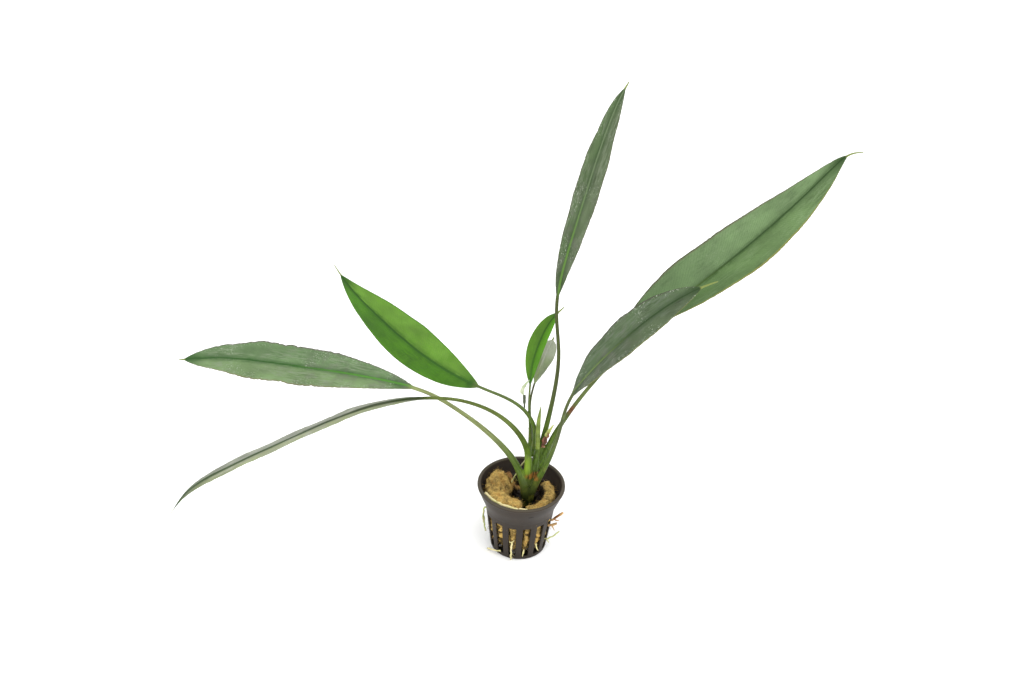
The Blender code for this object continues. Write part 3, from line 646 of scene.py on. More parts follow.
def leaf_finish(leaf, seed, looks):
    """Halves as seen, partly own tone and partly painted light and shade, streaks, veins, lime speckles, a midrib band
    partly painted shade, a base of painted shade, a midrib, and a streaked stalk.
    """
    look = leaf.look
    made, tree, shader = new_finish(leaf.name)
    along, offset, share, under, t = (
        attribute(tree, key) for key in ("along", "offset", "share", "under", "blade"))
    beside, out = (calc(tree, "ABSOLUTE", value) for value in (offset, share))
    place = add(tree, "ShaderNodeCombineXYZ", {0: along, 1: offset, 2: float(seed * 9)}).outputs[0]
    fine = grain(tree, place, 1.6, 3, 0.6)
    slow = grain(tree, stretched(tree, place, 0.5), 0.09, 3)
    # The halves' colours hold painted light and shade, as the two halves tilt differently to the light
    colour = blend(tree, ease(tree, offset, -0.5, 0.5), look.left, look.right)
    colour = shaded(tree, colour, calc(tree, "MULTIPLY_ADD", slow, 1.3, 0.35))
    lines = grain(tree, stretched(tree, place, 0.14), 0.9, 4, 0.65)
    wide = ease(tree, grain(tree, stretched(tree, place, 0.3), 0.12, 3), 0.38, 0.62)
    streak = calc(tree, "MULTIPLY", calc(tree, "MULTIPLY", ease(tree, lines, 0.42, 0.66), wide), look.streaks)
    colour = blend(tree, streak, colour, look.streak)
    furrow = calc(tree, "MULTIPLY", ease(tree, lines, 0.47, 0.33), calc(tree, "MULTIPLY", wide, look.streaks))
    colour = shaded(tree, colour, calc(tree, "MULTIPLY_ADD", furrow, -0.4, 1.0))
    bowed = calc(tree, "MULTIPLY_ADD", beside, -0.035, 2.1)
    run = calc(tree, "SUBTRACT", along, calc(tree, "MULTIPLY", beside, bowed))
    run = calc(tree, "ADD", run, calc(tree, "MULTIPLY", grain(tree, place, 0.2), 1.6))
    vein = calc(tree, "ABSOLUTE", calc(tree, "SINE", calc(tree, "MULTIPLY", run, math.pi / VEIN_SPACING)))
    vein = ease(tree, vein, 0.35, 0.0)
    colour = blend(tree, calc(tree, "MULTIPLY", vein, calc(tree, "MULTIPLY", slow, look.vein)), colour, look.rib_tip)
    # Dark band beside the midrib: partly the blade's own darker green, partly painted shade beside the raised midrib
    band = calc(tree, "MULTIPLY", ease(tree, beside, BAND_HALF_WIDTH, 0.4), look.band)
    band = calc(tree, "MULTIPLY", band, ease(tree, lines, 0.3, 0.6))
    colour = blend(tree, band, colour, look.rib_tip)
    # Painted shade darkens the blade's base out to dark_base; from dark_tip the tip takes its own colour
    far = min(look.dark_tip + 0.24, 0.98)
    ends = calc(tree, "ADD", ease(tree, t, look.dark_base, 0.0), ease(tree, t, look.dark_tip, far))
    ends = calc(tree, "MULTIPLY", ends, calc(tree, "MULTIPLY_ADD", slow, 0.6, 0.4))
    colour = blend(tree, ends, colour, look.rib_tip)
    margin = blend(tree, ease(tree, offset, -0.5, 0.5), look.margin, look.right_margin or look.margin)
    colour = blend(tree, calc(tree, "MULTIPLY", ease(tree, out, 0.90, 0.98), 0.75), colour, margin)
    bloom = calc(tree, "MULTIPLY", ease(tree, grain(tree, place, 0.11, 3), 0.44, 0.66), ease(tree, t, 0.85, 0.2))
    colour = blend(tree, calc(tree, "MULTIPLY", bloom, looks.bloom), colour, look.bloom)
    speck = ease(tree, grain(tree, stretched(tree, place, 0.6), 1.3, 4, 0.8), 0.56, 0.68)
    where = calc(tree, "ADD", grain(tree, place, 0.05, 2), calc(tree, "MULTIPLY", calc(tree, "POWER", out, 3), 0.24))
    speck = calc(tree, "MULTIPLY", calc(tree, "MULTIPLY", speck, ease(tree, where, 0.52, 0.68)), look.speckle)
    colour = blend(tree, speck, colour, tuple(looks.lime))
    rib_width = calc(tree, "MULTIPLY_ADD", t, -0.6, look.rib_width)
    rib = ease(tree, calc(tree, "DIVIDE", beside, rib_width), 1.0, 0.35)
    rib_colour = blend(tree, ease(tree, t, 0.2, 0.6), look.rib_base, look.rib_far or look.rib_tip)
    colour = blend(tree, calc(tree, "MULTIPLY", rib, 0.9), colour, rib_colour)
    colour = blend(tree, ease(tree, t, 0.985, 1.0), colour, THREAD_COLOUR)
    colour = blend(tree, calc(tree, "MULTIPLY", under, 0.4), colour, look.streak)
    stalk_lines = grain(tree, stretched(tree, place, 0.05), 1.6, 4, 0.6)
    stalk = blend(tree, ease(tree, stalk_lines, 0.35, 0.65), look.stalk, [c * 0.55 for c in look.stalk])
    stalk = blend(tree, calc(tree, "MULTIPLY", ease(tree, stalk_lines, 0.58, 0.72), 0.7), stalk,
                  [min(1, c * 1.5) for c in look.stalk])
    stain = ease(tree, grain(tree, place, 0.35, 3, 0.6), 0.62, 0.72)
    stalk = blend(tree, calc(tree, "MULTIPLY", stain, 0.6), stalk, tuple(looks.stain))
    foot = blend(tree, ease(tree, stalk_lines, 0.4, 0.6), tuple(looks.foot), [c * 0.6 for c in looks.foot])
    stalk = blend(tree, ease(tree, along, FOOT_GREEN_UNTIL, FOOT_GREEN_FROM), stalk, foot)
    if look.wound:
        away = calc(tree, "ABSOLUTE", calc(tree, "SUBTRACT", along, look.wound))
        away = calc(tree, "ADD", away, calc(tree, "MULTIPLY", stalk_lines, 7.0))
        sore = blend(tree, ease(tree, fine, 0.4, 0.6), (0.30, 0.095, 0.040), (0.13, 0.050, 0.022))
        sorely = calc(tree, "MULTIPLY", ease(tree, away, WOUND_LENGTH + 6.0, WOUND_LENGTH + 1.0), 0.9)
        stalk = blend(tree, sorely, stalk, sore)
    colour = blend(tree, ease(tree, t, 0.0, 0.05), stalk, colour)
    colour = shaded(tree, colour, calc(tree, "MULTIPLY_ADD", fine, 0.36, 0.82))
    colour = shaded(tree, colour, looks.tone)
    tree.links.new(colour, shader.inputs["Base Color"])
    shader.inputs["Specular IOR Level"].default_value = looks.sheen * look.gloss
    gloss = calc(tree, "MULTIPLY_ADD", fine, 0.2, looks.roughness)
    join(tree, shader.inputs["Roughness"], calc(tree, "MULTIPLY_ADD", speck, 0.3, gloss))
    height = calc(tree, "MULTIPLY_ADD", vein, -0.5, calc(tree, "ADD", fine, lines))
    relief(tree, shader, height, 0.0002, 0.6)
    return made


def shell(rows, columns, place, is_open):
    """A wall of cells. place(row, column, face) gives a corner on face 0 or 1."""
    index, points, faces = {}, [], []

    def corner(*key):
        if key not in index:
            index[key] = len(points)
            points.append(place(*key))
        return index[key]

    def solid(row, column):
        return 0 <= row < rows and 0 <= column < columns and not is_open(row, column)

    for row in range(rows):
        for column in range(columns):
            if not solid(row, column):
                continue
            square = ((row, column), (row, column + 1), (row + 1, column + 1), (row + 1, column))
            for face in (0, 1):
                faces.append(tuple(corner(*spot, face) for spot in square))
            beside = ((row - 1, column), (row, column + 1), (row + 1, column), (row, column - 1))
            for i, cell in enumerate(beside):
                inside = 0 <= cell[1] < columns
                if inside and not solid(*cell):
                    a, b = square[i], square[(i + 1) % 4]
                    faces.append((corner(*a, 0), corner(*b, 0), corner(*b, 1), corner(*a, 1)))
    return points, faces


def wall_radii(height):
    """Outer and inner radius of the straight wall."""
    share = height / WALL_TOP
    return tuple(low + (high - low) * share for low, high in (
        (POT_BASE_RADIUS, OUTER_FLARE[0][0]), (POT_BASE_RADIUS - 1.2, INNER_FLARE[0][0])))


def pot_rows():
    """Pairs of an outer and an inner (radius, height), from the foot to the lip."""
    rows = list(POT_FOOT)
    heights = [SLOT_BOTTOM + (SLOT_TOP - SLOT_BOTTOM) * i / SLOT_ROWS for i in range(SLOT_ROWS + 1)]
    for height in heights:
        rows.append(tuple((radius, height) for radius in wall_radii(height)))
    stretches = len(INNER_FLARE) - 1
    curve = smooth_route([(*point, 0) for point in OUTER_FLARE], stretches * FLARE_STEPS)
    for i in range(stretches * FLARE_STEPS + 1):
        before = min(i // FLARE_STEPS, stretches - 1)
        share = i / FLARE_STEPS - before
        inner = Vector(INNER_FLARE[before]).lerp(Vector(INNER_FLARE[before + 1]), share)
        outer = curve[round(i / (stretches * FLARE_STEPS) * (len(curve) - 1))]
        rows.append(((outer.x, outer.y), tuple(inner)))
    return rows + list(POT_LIP)


def wall_sector(sector):
    """One slot with half a rib on each side, over the whole height of the wall."""
    rows = pot_rows()
    rib = (sector / 2 - SLOT_HALF_ANGLE) / RIB_COLUMNS
    slot = 2 * SLOT_HALF_ANGLE / SLOT_COLUMNS
    angles = [-sector / 2 + rib * i for i in range(RIB_COLUMNS)]
    angles += [-SLOT_HALF_ANGLE + slot * i for i in range(SLOT_COLUMNS)]
    angles += [SLOT_HALF_ANGLE + rib * i for i in range(RIB_COLUMNS + 1)]
    first_open = len(POT_FOOT)

    def place(row, column, face):
        radius, height = rows[row][face]
        return on_bearing(radius, SLOT_FIRST + angles[column], height)

    def is_open(row, column):
        return (first_open <= row < first_open + SLOT_ROWS
                and RIB_COLUMNS <= column < RIB_COLUMNS + SLOT_COLUMNS)

    return shell(len(rows) - 1, len(angles) - 1, place, is_open)


def floor_sector(sector):
    """A wedge of the floor with one drain slot."""
    columns = DRAIN_COLUMNS + 2 * BETWEEN_DRAINS

    def angle(radius, column):
        half = math.degrees(math.asin(min(1, DRAIN_WIDTH / 2 / max(radius, DRAIN_OPEN[0]))))
        if column < BETWEEN_DRAINS:
            return -sector / 2 + (sector / 2 - half) * column / BETWEEN_DRAINS
        if column > BETWEEN_DRAINS + DRAIN_COLUMNS:
            return sector / 2 - (sector / 2 - half) * (columns - column) / BETWEEN_DRAINS
        return -half + 2 * half * (column - BETWEEN_DRAINS) / DRAIN_COLUMNS

    def place(row, column, face):
        radius = max(DRAIN_RADII[row], 0.01)
        return on_bearing(radius, angle(radius, column), (FOOT_RECESS, POT_FLOOR)[face])

    def is_open(row, column):
        inner = DRAIN_RADII[row]
        return (DRAIN_OPEN[0] <= inner < DRAIN_OPEN[1]
                and BETWEEN_DRAINS <= column < BETWEEN_DRAINS + DRAIN_COLUMNS)

    return shell(len(DRAIN_RADII) - 1, columns, place, is_open)


def new_tree(name, inputs):
    """A geometry tree with a Geometry input, named inputs and a Geometry output."""
    tree = bpy.data.node_groups.new(name, "GeometryNodeTree")
    tree.interface.new_socket("Geometry", in_out="INPUT", socket_type="NodeSocketGeometry")
    for label, (kind, default) in inputs.items():
        socket = tree.interface.new_socket(label, in_out="INPUT", socket_type=kind)
        if default is not None:
            socket.default_value = default
    tree.interface.new_socket("Geometry", in_out="OUTPUT", socket_type="NodeSocketGeometry")
    return tree, tree.nodes.new("NodeGroupInput").outputs, tree.nodes.new("NodeGroupOutput").inputs


def grow(obj, tree, values):
    """Runs a geometry tree on the object with these named values, and keeps the plain mesh."""
    modifier = obj.modifiers.new(tree.name, "NODES")
    modifier.node_group = tree
    for item in tree.interface.items_tree:
        if item.item_type == "SOCKET" and item.in_out == "INPUT" and item.name in values:
            modifier[item.identifier] = values[item.name]
    return settled(obj)


def round_tree():
    """Copies of a sector set round the Z axis and merged into one body."""
    tree, given, result = new_tree("Set round the axis", {
        "Count": ("NodeSocketInt", 14),
        "Merge distance": ("NodeSocketFloat", 0.00001),
        "Material": ("NodeSocketMaterial", None),
    })
    line = add(tree, "GeometryNodeMeshLine", {"Count": given["Count"], "Offset": (0, 0, 0)})
    index = tree.nodes.new("GeometryNodeInputIndex").outputs[0]
    turn = calc(tree, "DIVIDE", calc(tree, "MULTIPLY", index, 2 * math.pi), given["Count"])
    euler = add(tree, "ShaderNodeCombineXYZ", {"Z": turn}).outputs[0]
    rotation = add(tree, "FunctionNodeEulerToRotation", {0: euler}).outputs[0]
    copies = add(tree, "GeometryNodeInstanceOnPoints",
                 {"Points": line.outputs[0], "Instance": given["Geometry"], "Rotation": rotation})
    real = add(tree, "GeometryNodeRealizeInstances", {0: copies.outputs[0]})
    merged = add(tree, "GeometryNodeMergeByDistance",
                 {"Geometry": real.outputs[0], "Distance": given["Merge distance"]})
    painted = add(tree, "GeometryNodeSetMaterial",
                  {"Geometry": merged.outputs[0], "Material": given["Material"]})
    join(tree, result[0], painted.outputs[0])
    return tree


def plastic_finish(looks):
    """Dark moulded plastic with fine grain, flow marks, a few scuffs, painted shade inside, a painted highlight on the
    lip's top, and darker towards the bottom.
    """
    made, tree, shader = new_finish("pot_plastic")
    place = here(tree)
    cloudy = grain(tree, place, 90, 4)
    scuff = ease(tree, grain(tree, place, 420, 4, 0.7), 0.6, 0.78)
    plain = [c * looks.tone for c in looks.plastic]
    colour = blend(tree, cloudy, plain, [plain[0] * 1.6, plain[1] * 1.3, plain[2] * 1.05])
    colour = blend(tree, calc(tree, "MULTIPLY", scuff, 0.35), colour, (0.060, 0.047, 0.035))
    spot = add(tree, "ShaderNodeSeparateXYZ", {0: place}).outputs
    radius = calc(tree, "SQRT", calc(tree, "ADD", calc(tree, "MULTIPLY", spot[0], spot[0]),
                                     calc(tree, "MULTIPLY", spot[1], spot[1])))
    inner = calc(tree, "SUBTRACT", radius, calc(tree, "MULTIPLY", spot[2], INNER_SLOPE))
    # Painted shade: the inner face below the lip is painted near black, where shade falls inside the pot
    inner_painted_shade = calc(tree, "MULTIPLY", ease(tree, inner, INNER_FROM, INNER_FROM - 0.0006), ease(tree, spot[2], 0.046, 0.036))
    colour = blend(tree, inner_painted_shade, colour, (0.012, 0.010, 0.007))
    # Painted highlight: the lip's top is painted paler, where light catches it
    worn = calc(tree, "MULTIPLY", ease(tree, spot[2], LIP_HIGHLIGHT_FROM, LIP_HIGHLIGHT_FROM + 0.0012), 0.6)
    colour = blend(tree, worn, colour, (0.075, 0.064, 0.045))
    low = calc(tree, "MULTIPLY", ease(tree, spot[2], 0.009, 0.002), 0.45)
    colour = blend(tree, low, colour, (0.022, 0.019, 0.014))
    squashed = add(tree, "ShaderNodeVectorMath", {0: place, 1: (1, 1, 3)}, operation="MULTIPLY").outputs[0]
    centre = (MARK_PLACE[0], MARK_PLACE[1], MARK_PLACE[2] * 3)
    mark = add(tree, "ShaderNodeVectorMath", {0: squashed, 1: centre}, operation="DISTANCE").outputs["Value"]
    mark = calc(tree, "ADD", mark, calc(tree, "MULTIPLY", scuff, 0.0015))
    colour = blend(tree, ease(tree, mark, 0.0022, 0.0012), colour, (0.006, 0.005, 0.004))
    tree.links.new(colour, shader.inputs["Base Color"])
    shader.inputs["Specular IOR Level"].default_value = looks.sheen
    join(tree, shader.inputs["Roughness"], calc(tree, "MULTIPLY_ADD", cloudy, 0.2, 0.3))
    relief(tree, shader, grain(tree, place, 1500, 3), 0.00005, 0.5)
    return made


def make_pot(looks):
    material = plastic_finish(looks)
    merge = 0.00001
    tree = round_tree()
    parts = []
    for count, sector in ((looks.slots, wall_sector), (DRAIN_SLOTS, floor_sector)):
        points, faces = sector(360 / count)
        part = mesh_object("pot_sector", points, faces)
        grow(part, tree, {"Count": count, "Merge distance": merge, "Material": material})
        parts.append(part)
    bm = bmesh.new()
    for part in parts:
        bm.from_mesh(part.data)
        bpy.data.objects.remove(part)
    bmesh.ops.remove_doubles(bm, verts=bm.verts, dist=0.02 * MM)
    bmesh.ops.recalc_face_normals(bm, faces=bm.faces)
    mesh = bpy.data.meshes.new("net_pot_moulded")
    bm.to_mesh(mesh)
    bm.free()
    mesh.shade_smooth()
    mesh.materials.append(material)
    pot = bpy.data.objects.new("net_pot_moulded", mesh)
    bpy.context.scene.collection.objects.link(pot)
    bevel = pot.modifiers.new("edges", "BEVEL")
    bevel.width = POT_EDGE_ROUND * MM
    bevel.segments = 2
    bevel.limit_method = "ANGLE"
    bevel.angle_limit = math.radians(SHARP_ANGLE)
    weighted = pot.modifiers.new("normals", "WEIGHTED_NORMAL")
    weighted.keep_sharp = True
    settled(pot)
    return finish_piece(pot, "pot_plastic", "net_pot")


def wool_finish(name, colour, bright):
    """Fibrous mineral wool: tangled streaks, orange and dark pits, dark by the stem and low down (partly wetness,
    partly painted shade), painted shade in the gaps and painted light in the slots.
    """
    made, tree, shader = new_finish(name)
    place = here(tree)
    tangle = grain(tree, place, 330, 6, 0.75)
    lumps = grain(tree, place, 130, 3, 0.6)
    pits = ease(tree, grain(tree, place, 900, 4, 0.75), 0.57, 0.68)
    rusty = ease(tree, grain(tree, place, 260, 4, 0.7), 0.50, 0.64)
    base = blend(tree, ease(tree, tangle, 0.38, 0.62), [c * 0.45 for c in colour], [c * 1.15 for c in colour])
    base = blend(tree, calc(tree, "MULTIPLY", ease(tree, lumps, 0.45, 0.62), 0.75), base, bright)
    base = blend(tree, calc(tree, "MULTIPLY", rusty, 0.55), base, (0.26, 0.110, 0.018))
    base = blend(tree, calc(tree, "MULTIPLY", pits, 0.75), base, (0.050, 0.028, 0.008))
    flat = add(tree, "ShaderNodeVectorMath", {0: place, 1: (1, 1, 0)}, operation="MULTIPLY").outputs[0]
    reach = add(tree, "ShaderNodeVectorMath", {0: flat, 1: HOLLOW_PLACE}, operation="DISTANCE").outputs["Value"]
    reach = calc(tree, "ADD", reach, calc(tree, "MULTIPLY", lumps, 0.004))
    height = add(tree, "ShaderNodeSeparateXYZ", {0: place}).outputs[2]
    # By the stem, low in the hollow and at the foot the wool is painted near black: partly wetness, partly painted
    # shade
    wet_and_shaded_by_stem = ease(tree, reach, HOLLOW_RADIUS + 0.0008, HOLLOW_RADIUS - 0.0012)
    wet_and_shaded_in_hollow = calc(tree, "MULTIPLY", ease(tree, height, 0.040, 0.036), ease(tree, reach, 0.0175, 0.0155))
    low = calc(tree, "MULTIPLY", ease(tree, height, 0.010, 0.005), 0.85)
    dark = calc(tree, "MAXIMUM", calc(tree, "MAXIMUM", wet_and_shaded_by_stem, wet_and_shaded_in_hollow), low)
    base = blend(tree, dark, base, (0.012, 0.007, 0.003))
    # Painted shade in the gaps between lumps, from about 31 mm down, where the slots show the wool
    torn = calc(tree, "MULTIPLY", ease(tree, grain(tree, place, 190, 2, 0.5), 0.49, 0.42),
                ease(tree, height, 0.031, 0.027))
    base = blend(tree, calc(tree, "MULTIPLY", torn, 0.9), base, (0.022, 0.014, 0.004))
    # Painted light: wool below about 26 mm, seen through the slots, is painted up to 12% lighter than wool above 32 mm
    shade = calc(tree, "MULTIPLY_ADD", ease(tree, height, 0.026, 0.032), -0.12, 1.12)
    tree.links.new(shaded(tree, base, shade), shader.inputs["Base Color"])
    join(tree, shader.inputs["Roughness"], calc(tree, "MULTIPLY_ADD", dark, -0.55, 0.9))
    shader.inputs["Specular IOR Level"].default_value = 0.25
    relief(tree, shader, calc(tree, "SUBTRACT", tangle, pits), 0.0012, 0.9)
    return made


def make_wool(name, looks):
    """A torn chunk: the solid remeshed finely, pulled into lumps, and grown over with fibres."""
    node = frame["nodes"][name]
    bm = bmesh.new()
    bm.from_mesh(node.data)
    bmesh.ops.remove_doubles(bm, verts=bm.verts, dist=0.01 * MM)
    mesh = bpy.data.meshes.new(name + "_torn")
    bm.to_mesh(mesh)
    bm.free()
    chunk = bpy.data.objects.new(name + "_torn", mesh)
    bpy.context.scene.collection.objects.link(chunk)
    remesh = chunk.modifiers.new("grain", "REMESH")
    remesh.mode = "VOXEL"
    remesh.voxel_size = looks.voxel
    settled(chunk)
    normals = [vertex.normal.copy() for vertex in chunk.data.vertices]
    for vertex, normal in zip(chunk.data.vertices, normals):
        at = vertex.co / MM
        lump = noise.fractal(at / 5.0, 0.9, 2.1, 4)
        torn = noise.ridged_multi_fractal(at / 4.2, 0.9, 2.1, 3, 1.0, 2.0) - 1
        vertex.co += normal * looks.lump * (lump * 0.9 - torn * 0.55 - 0.35)
        vertex.co += slot_bulge(at) * MM
    chunk.data.shade_smooth()
    slot = WOOL_SLOTS[name]
    colour = looks.rust if slot == "wool_rust" else looks.ochre
    finish = wool_finish(name, tuple(colour), tuple(looks.bright))
    chunk.data.materials.clear()
    chunk.data.materials.append(finish)
    fibres = bpy.data.objects.new(name + "_fibres", chunk.data.copy())
    bpy.context.scene.collection.objects.link(fibres)
    grow(fibres, fibre_tree(), {
        "Density": looks.fibre_density, "Length": looks.fibre_length,
        "Radius": looks.fibre_radius, "Seed": len(name), "Material": finish,
    })
    finish_piece(chunk, slot, name)
    finish_piece(fibres, slot)


def slot_bulge(at):
    """How far wool swells outwards through the slot in front of this point, in lumps."""
    radius = math.hypot(at.x, at.y)
    inner = wall_radii(at.z)[1]
    if not (SLOT_BOTTOM + 2 < at.z < SLOT_TOP and inner - 2.2 < radius):
        return Vector()
    step = 360 / SLOTS
    off = (math.degrees(math.atan2(at.y, at.x)) - SLOT_FIRST + step / 2) % step - step / 2
    window = smoothstep((SLOT_HALF_ANGLE - 0.6 - abs(off)) / 2.5)
    ends = smoothstep((at.z - SLOT_BOTTOM - 2) / 2) * smoothstep((SLOT_TOP - at.z) / 1.5)
    swell = BULGE * (0.6 + 1.3 * noise.noise(Vector((at.x / 4, at.y / 4, at.z / 2.3))))
    return Vector((at.x, at.y, 0)).normalized() * max(0, swell) * window * ends


def fibre_tree():
    """Bent fibres scattered over a surface, lying close to it."""
    tree, given, result = new_tree("Loose fibres", {
        "Density": ("NodeSocketFloat", 400000.0),
        "Length": ("NodeSocketFloat", 0.004),
        "Radius": ("NodeSocketFloat", 0.00006),
        "Lean": ("NodeSocketFloat", 1.3),
        "Seed": ("NodeSocketInt", 1),
        "Material": ("NodeSocketMaterial", None),
    })
    points = add(tree, "GeometryNodeDistributePointsOnFaces",
                 {"Mesh": given["Geometry"], "Density": given["Density"], "Seed": given["Seed"]})
    half = calc(tree, "MULTIPLY", given["Length"], 0.5)
    bow = calc(tree, "MULTIPLY", given["Length"], 0.28)
    start, middle, end = (
        add(tree, "ShaderNodeCombineXYZ", values).outputs[0]
        for values in ({"X": 0.0}, {"X": bow, "Z": half}, {"Z": given["Length"]}))
    curve = add(tree, "GeometryNodeCurveQuadraticBezier",
                {"Resolution": 4, "Start": start, "Middle": middle, "End": end})
    ring = add(tree, "GeometryNodeCurvePrimitiveCircle", {"Resolution": 3, "Radius": given["Radius"]})
    fibre = add(tree, "GeometryNodeCurveToMesh",
                {"Curve": curve.outputs[0], "Profile Curve": ring.outputs[0], "Fill Caps": True})
    least = add(tree, "ShaderNodeCombineXYZ", {"X": calc(tree, "SUBTRACT", given["Lean"], 0.2)}).outputs[0]
    most = add(tree, "ShaderNodeCombineXYZ", {"X": calc(tree, "ADD", given["Lean"], 0.2)}).outputs[0]
    lean = add(tree, "FunctionNodeRandomValue",
               {0: least, 1: most, "Seed": given["Seed"]}, data_type="FLOAT_VECTOR")
    spin = add(tree, "FunctionNodeRandomValue",
               {0: (0.0, 0.0, 0.0), 1: (0.0, 0.0, 2 * math.pi), "Seed": 77}, data_type="FLOAT_VECTOR")
    turned = add(tree, "FunctionNodeRotateRotation",
                 {0: points.outputs["Rotation"], 1: spin.outputs[0]}, rotation_space="LOCAL")
    leaning = add(tree, "FunctionNodeRotateRotation",
                  {0: turned.outputs[0], 1: lean.outputs[0]}, rotation_space="LOCAL")
    size = add(tree, "FunctionNodeRandomValue", {2: 0.4, 3: 1.2, "Seed": 31}, data_type="FLOAT")
    copies = add(tree, "GeometryNodeInstanceOnPoints", {
        "Points": points.outputs["Points"], "Instance": fibre.outputs[0],
        "Rotation": leaning.outputs[0], "Scale": size.outputs[1],
    })
    real = add(tree, "GeometryNodeRealizeInstances", {0: copies.outputs[0]})
    painted = add(tree, "GeometryNodeSetMaterial",
                  {"Geometry": real.outputs[0], "Material": given["Material"]})
    join(tree, result[0], painted.outputs[0])
    return tree


def drift(spot):
    """A smooth push that changes from place to place and is the same on every run."""
    return Vector([noise.noise(spot / WANDER_LENGTH + Vector((DRIFT_APART * i, 0, 0))) for i in range(3)])


def loft(route, radii, steps, points, lump=0.0, flatten=1.0, wander=0.0):
    """Rings of a round, tapering body along a smooth route that may wander a little."""
    path = smooth_route(route, steps)
    path = [path[0], *(spot + drift(spot) * wander for spot in path[1:])]
    along = distances(path)
    rings = []
    for i, distance in enumerate(along):
        before = min(i // steps, len(radii) - 2)
        radius = radii[before] + (radii[before + 1] - radii[before]) * (i / steps - before)
        centre, direction = point_at(path, along, distance)
        across, up = leaf_axes(direction, 0, 0)
        for k in range(points):
            angle = 2 * math.pi * k / points
            spot = centre + (across * math.cos(angle) + up * math.sin(angle) * flatten) * radius
            swell = 1 + lump * noise.noise(spot / 1.5)
            rings.append(centre + (spot - centre) * swell)
    return rings, tube_faces(len(along), points)


def skin_finish(name, colour, tip, stripe=0.3):
    """Root, stalk or shoot skin: fine streaks and a slow change of tone."""
    made, tree, shader = new_finish(name)
    place = here(tree)
    slow = ease(tree, grain(tree, place, 160, 3), 0.4, 0.65)
    fine = grain(tree, place, 1400, 4, 0.65)
    base = blend(tree, slow, colour, tip)
    base = blend(tree, calc(tree, "MULTIPLY", ease(tree, fine, 0.5, 0.75), stripe), base,
                 [c * 0.4 for c in colour])
    tree.links.new(base, shader.inputs["Base Color"])
    join(tree, shader.inputs["Roughness"], calc(tree, "MULTIPLY_ADD", fine, 0.2, 0.35))
    relief(tree, shader, fine, 0.00012, 0.6)
    return made


def make_roots(looks):
    tones = {
        "root_cream": (looks.cream, (0.62, 0.56, 0.26), (0.24, 0.26, 0.06)),
        "root_orange": (looks.orange, (0.62, 0.36, 0.14), (0.22, 0.07, 0.02)),
        "root_brown": (looks.brown, (0.45, 0.28, 0.12), (0.12, 0.05, 0.02)),
        "root_green": (looks.green, (0.50, 0.46, 0.22), (0.16, 0.20, 0.04)),
    }
    finishes = {slot: root_finish(slot, tuple(a), b, c) for slot, (a, b, c) in tones.items()}
    tree = fibre_tree()
    for seed, root in enumerate(ROOTS):
        radii = [root.start_radius + (root.end_radius - root.start_radius) * i / (len(root.route) - 1)
                 for i in range(len(root.route))]
        points, faces = loft(root.route, radii, ROOT_STEPS, ROOT_POINTS, lump=ROOT_LUMP, wander=ROOT_WANDER)
        obj = mesh_object(root.name + "_grown", points, faces)
        obj.data.materials.append(finishes[root.slot])
        finish_piece(obj, root.slot, root.name)
        hairs = bpy.data.objects.new(root.name + "_rootlets", obj.data.copy())
        bpy.context.scene.collection.objects.link(hairs)
        grow(hairs, tree, {
            "Density": looks.rootlet_density, "Length": looks.rootlet_length,
            "Radius": looks.rootlet_radius, "Lean": 0.6, "Seed": seed, "Material": finishes[root.slot],
        })
        finish_piece(hairs, root.slot)
    for bit in BITS:
        points, faces = loft(bit.route, bit.radii, ROOT_STEPS, ROOT_POINTS, lump=ROOT_LUMP,
                             flatten=bit.flatten, wander=ROOT_WANDER)
        obj = mesh_object(bit.name, points, faces)
        obj.data.materials.append(finishes[bit.slot])
        finish_piece(obj, bit.slot)


def root_finish(name, colour, pale, dark):
    """Root skin: slow bands of a paler and a darker tone, fine streaks and dark grains."""
    made, tree, shader = new_finish(name)
    place = here(tree)
    bands = grain(tree, place, 210, 3)
    fine = grain(tree, place, 1400, 4, 0.65)
    base = blend(tree, ease(tree, bands, 0.42, 0.58), colour, pale)
    base = blend(tree, calc(tree, "MULTIPLY", ease(tree, grain(tree, place, 120, 3), 0.52, 0.66), 0.75), base, dark)
    base = blend(tree, calc(tree, "MULTIPLY", ease(tree, fine, 0.52, 0.7), 0.5), base, dark)
    tree.links.new(base, shader.inputs["Base Color"])
    join(tree, shader.inputs["Roughness"], calc(tree, "MULTIPLY_ADD", fine, 0.2, 0.4))
    shader.inputs["Specular IOR Level"].default_value = 0.3
    relief(tree, shader, fine, 0.00015, 0.7)
    return made


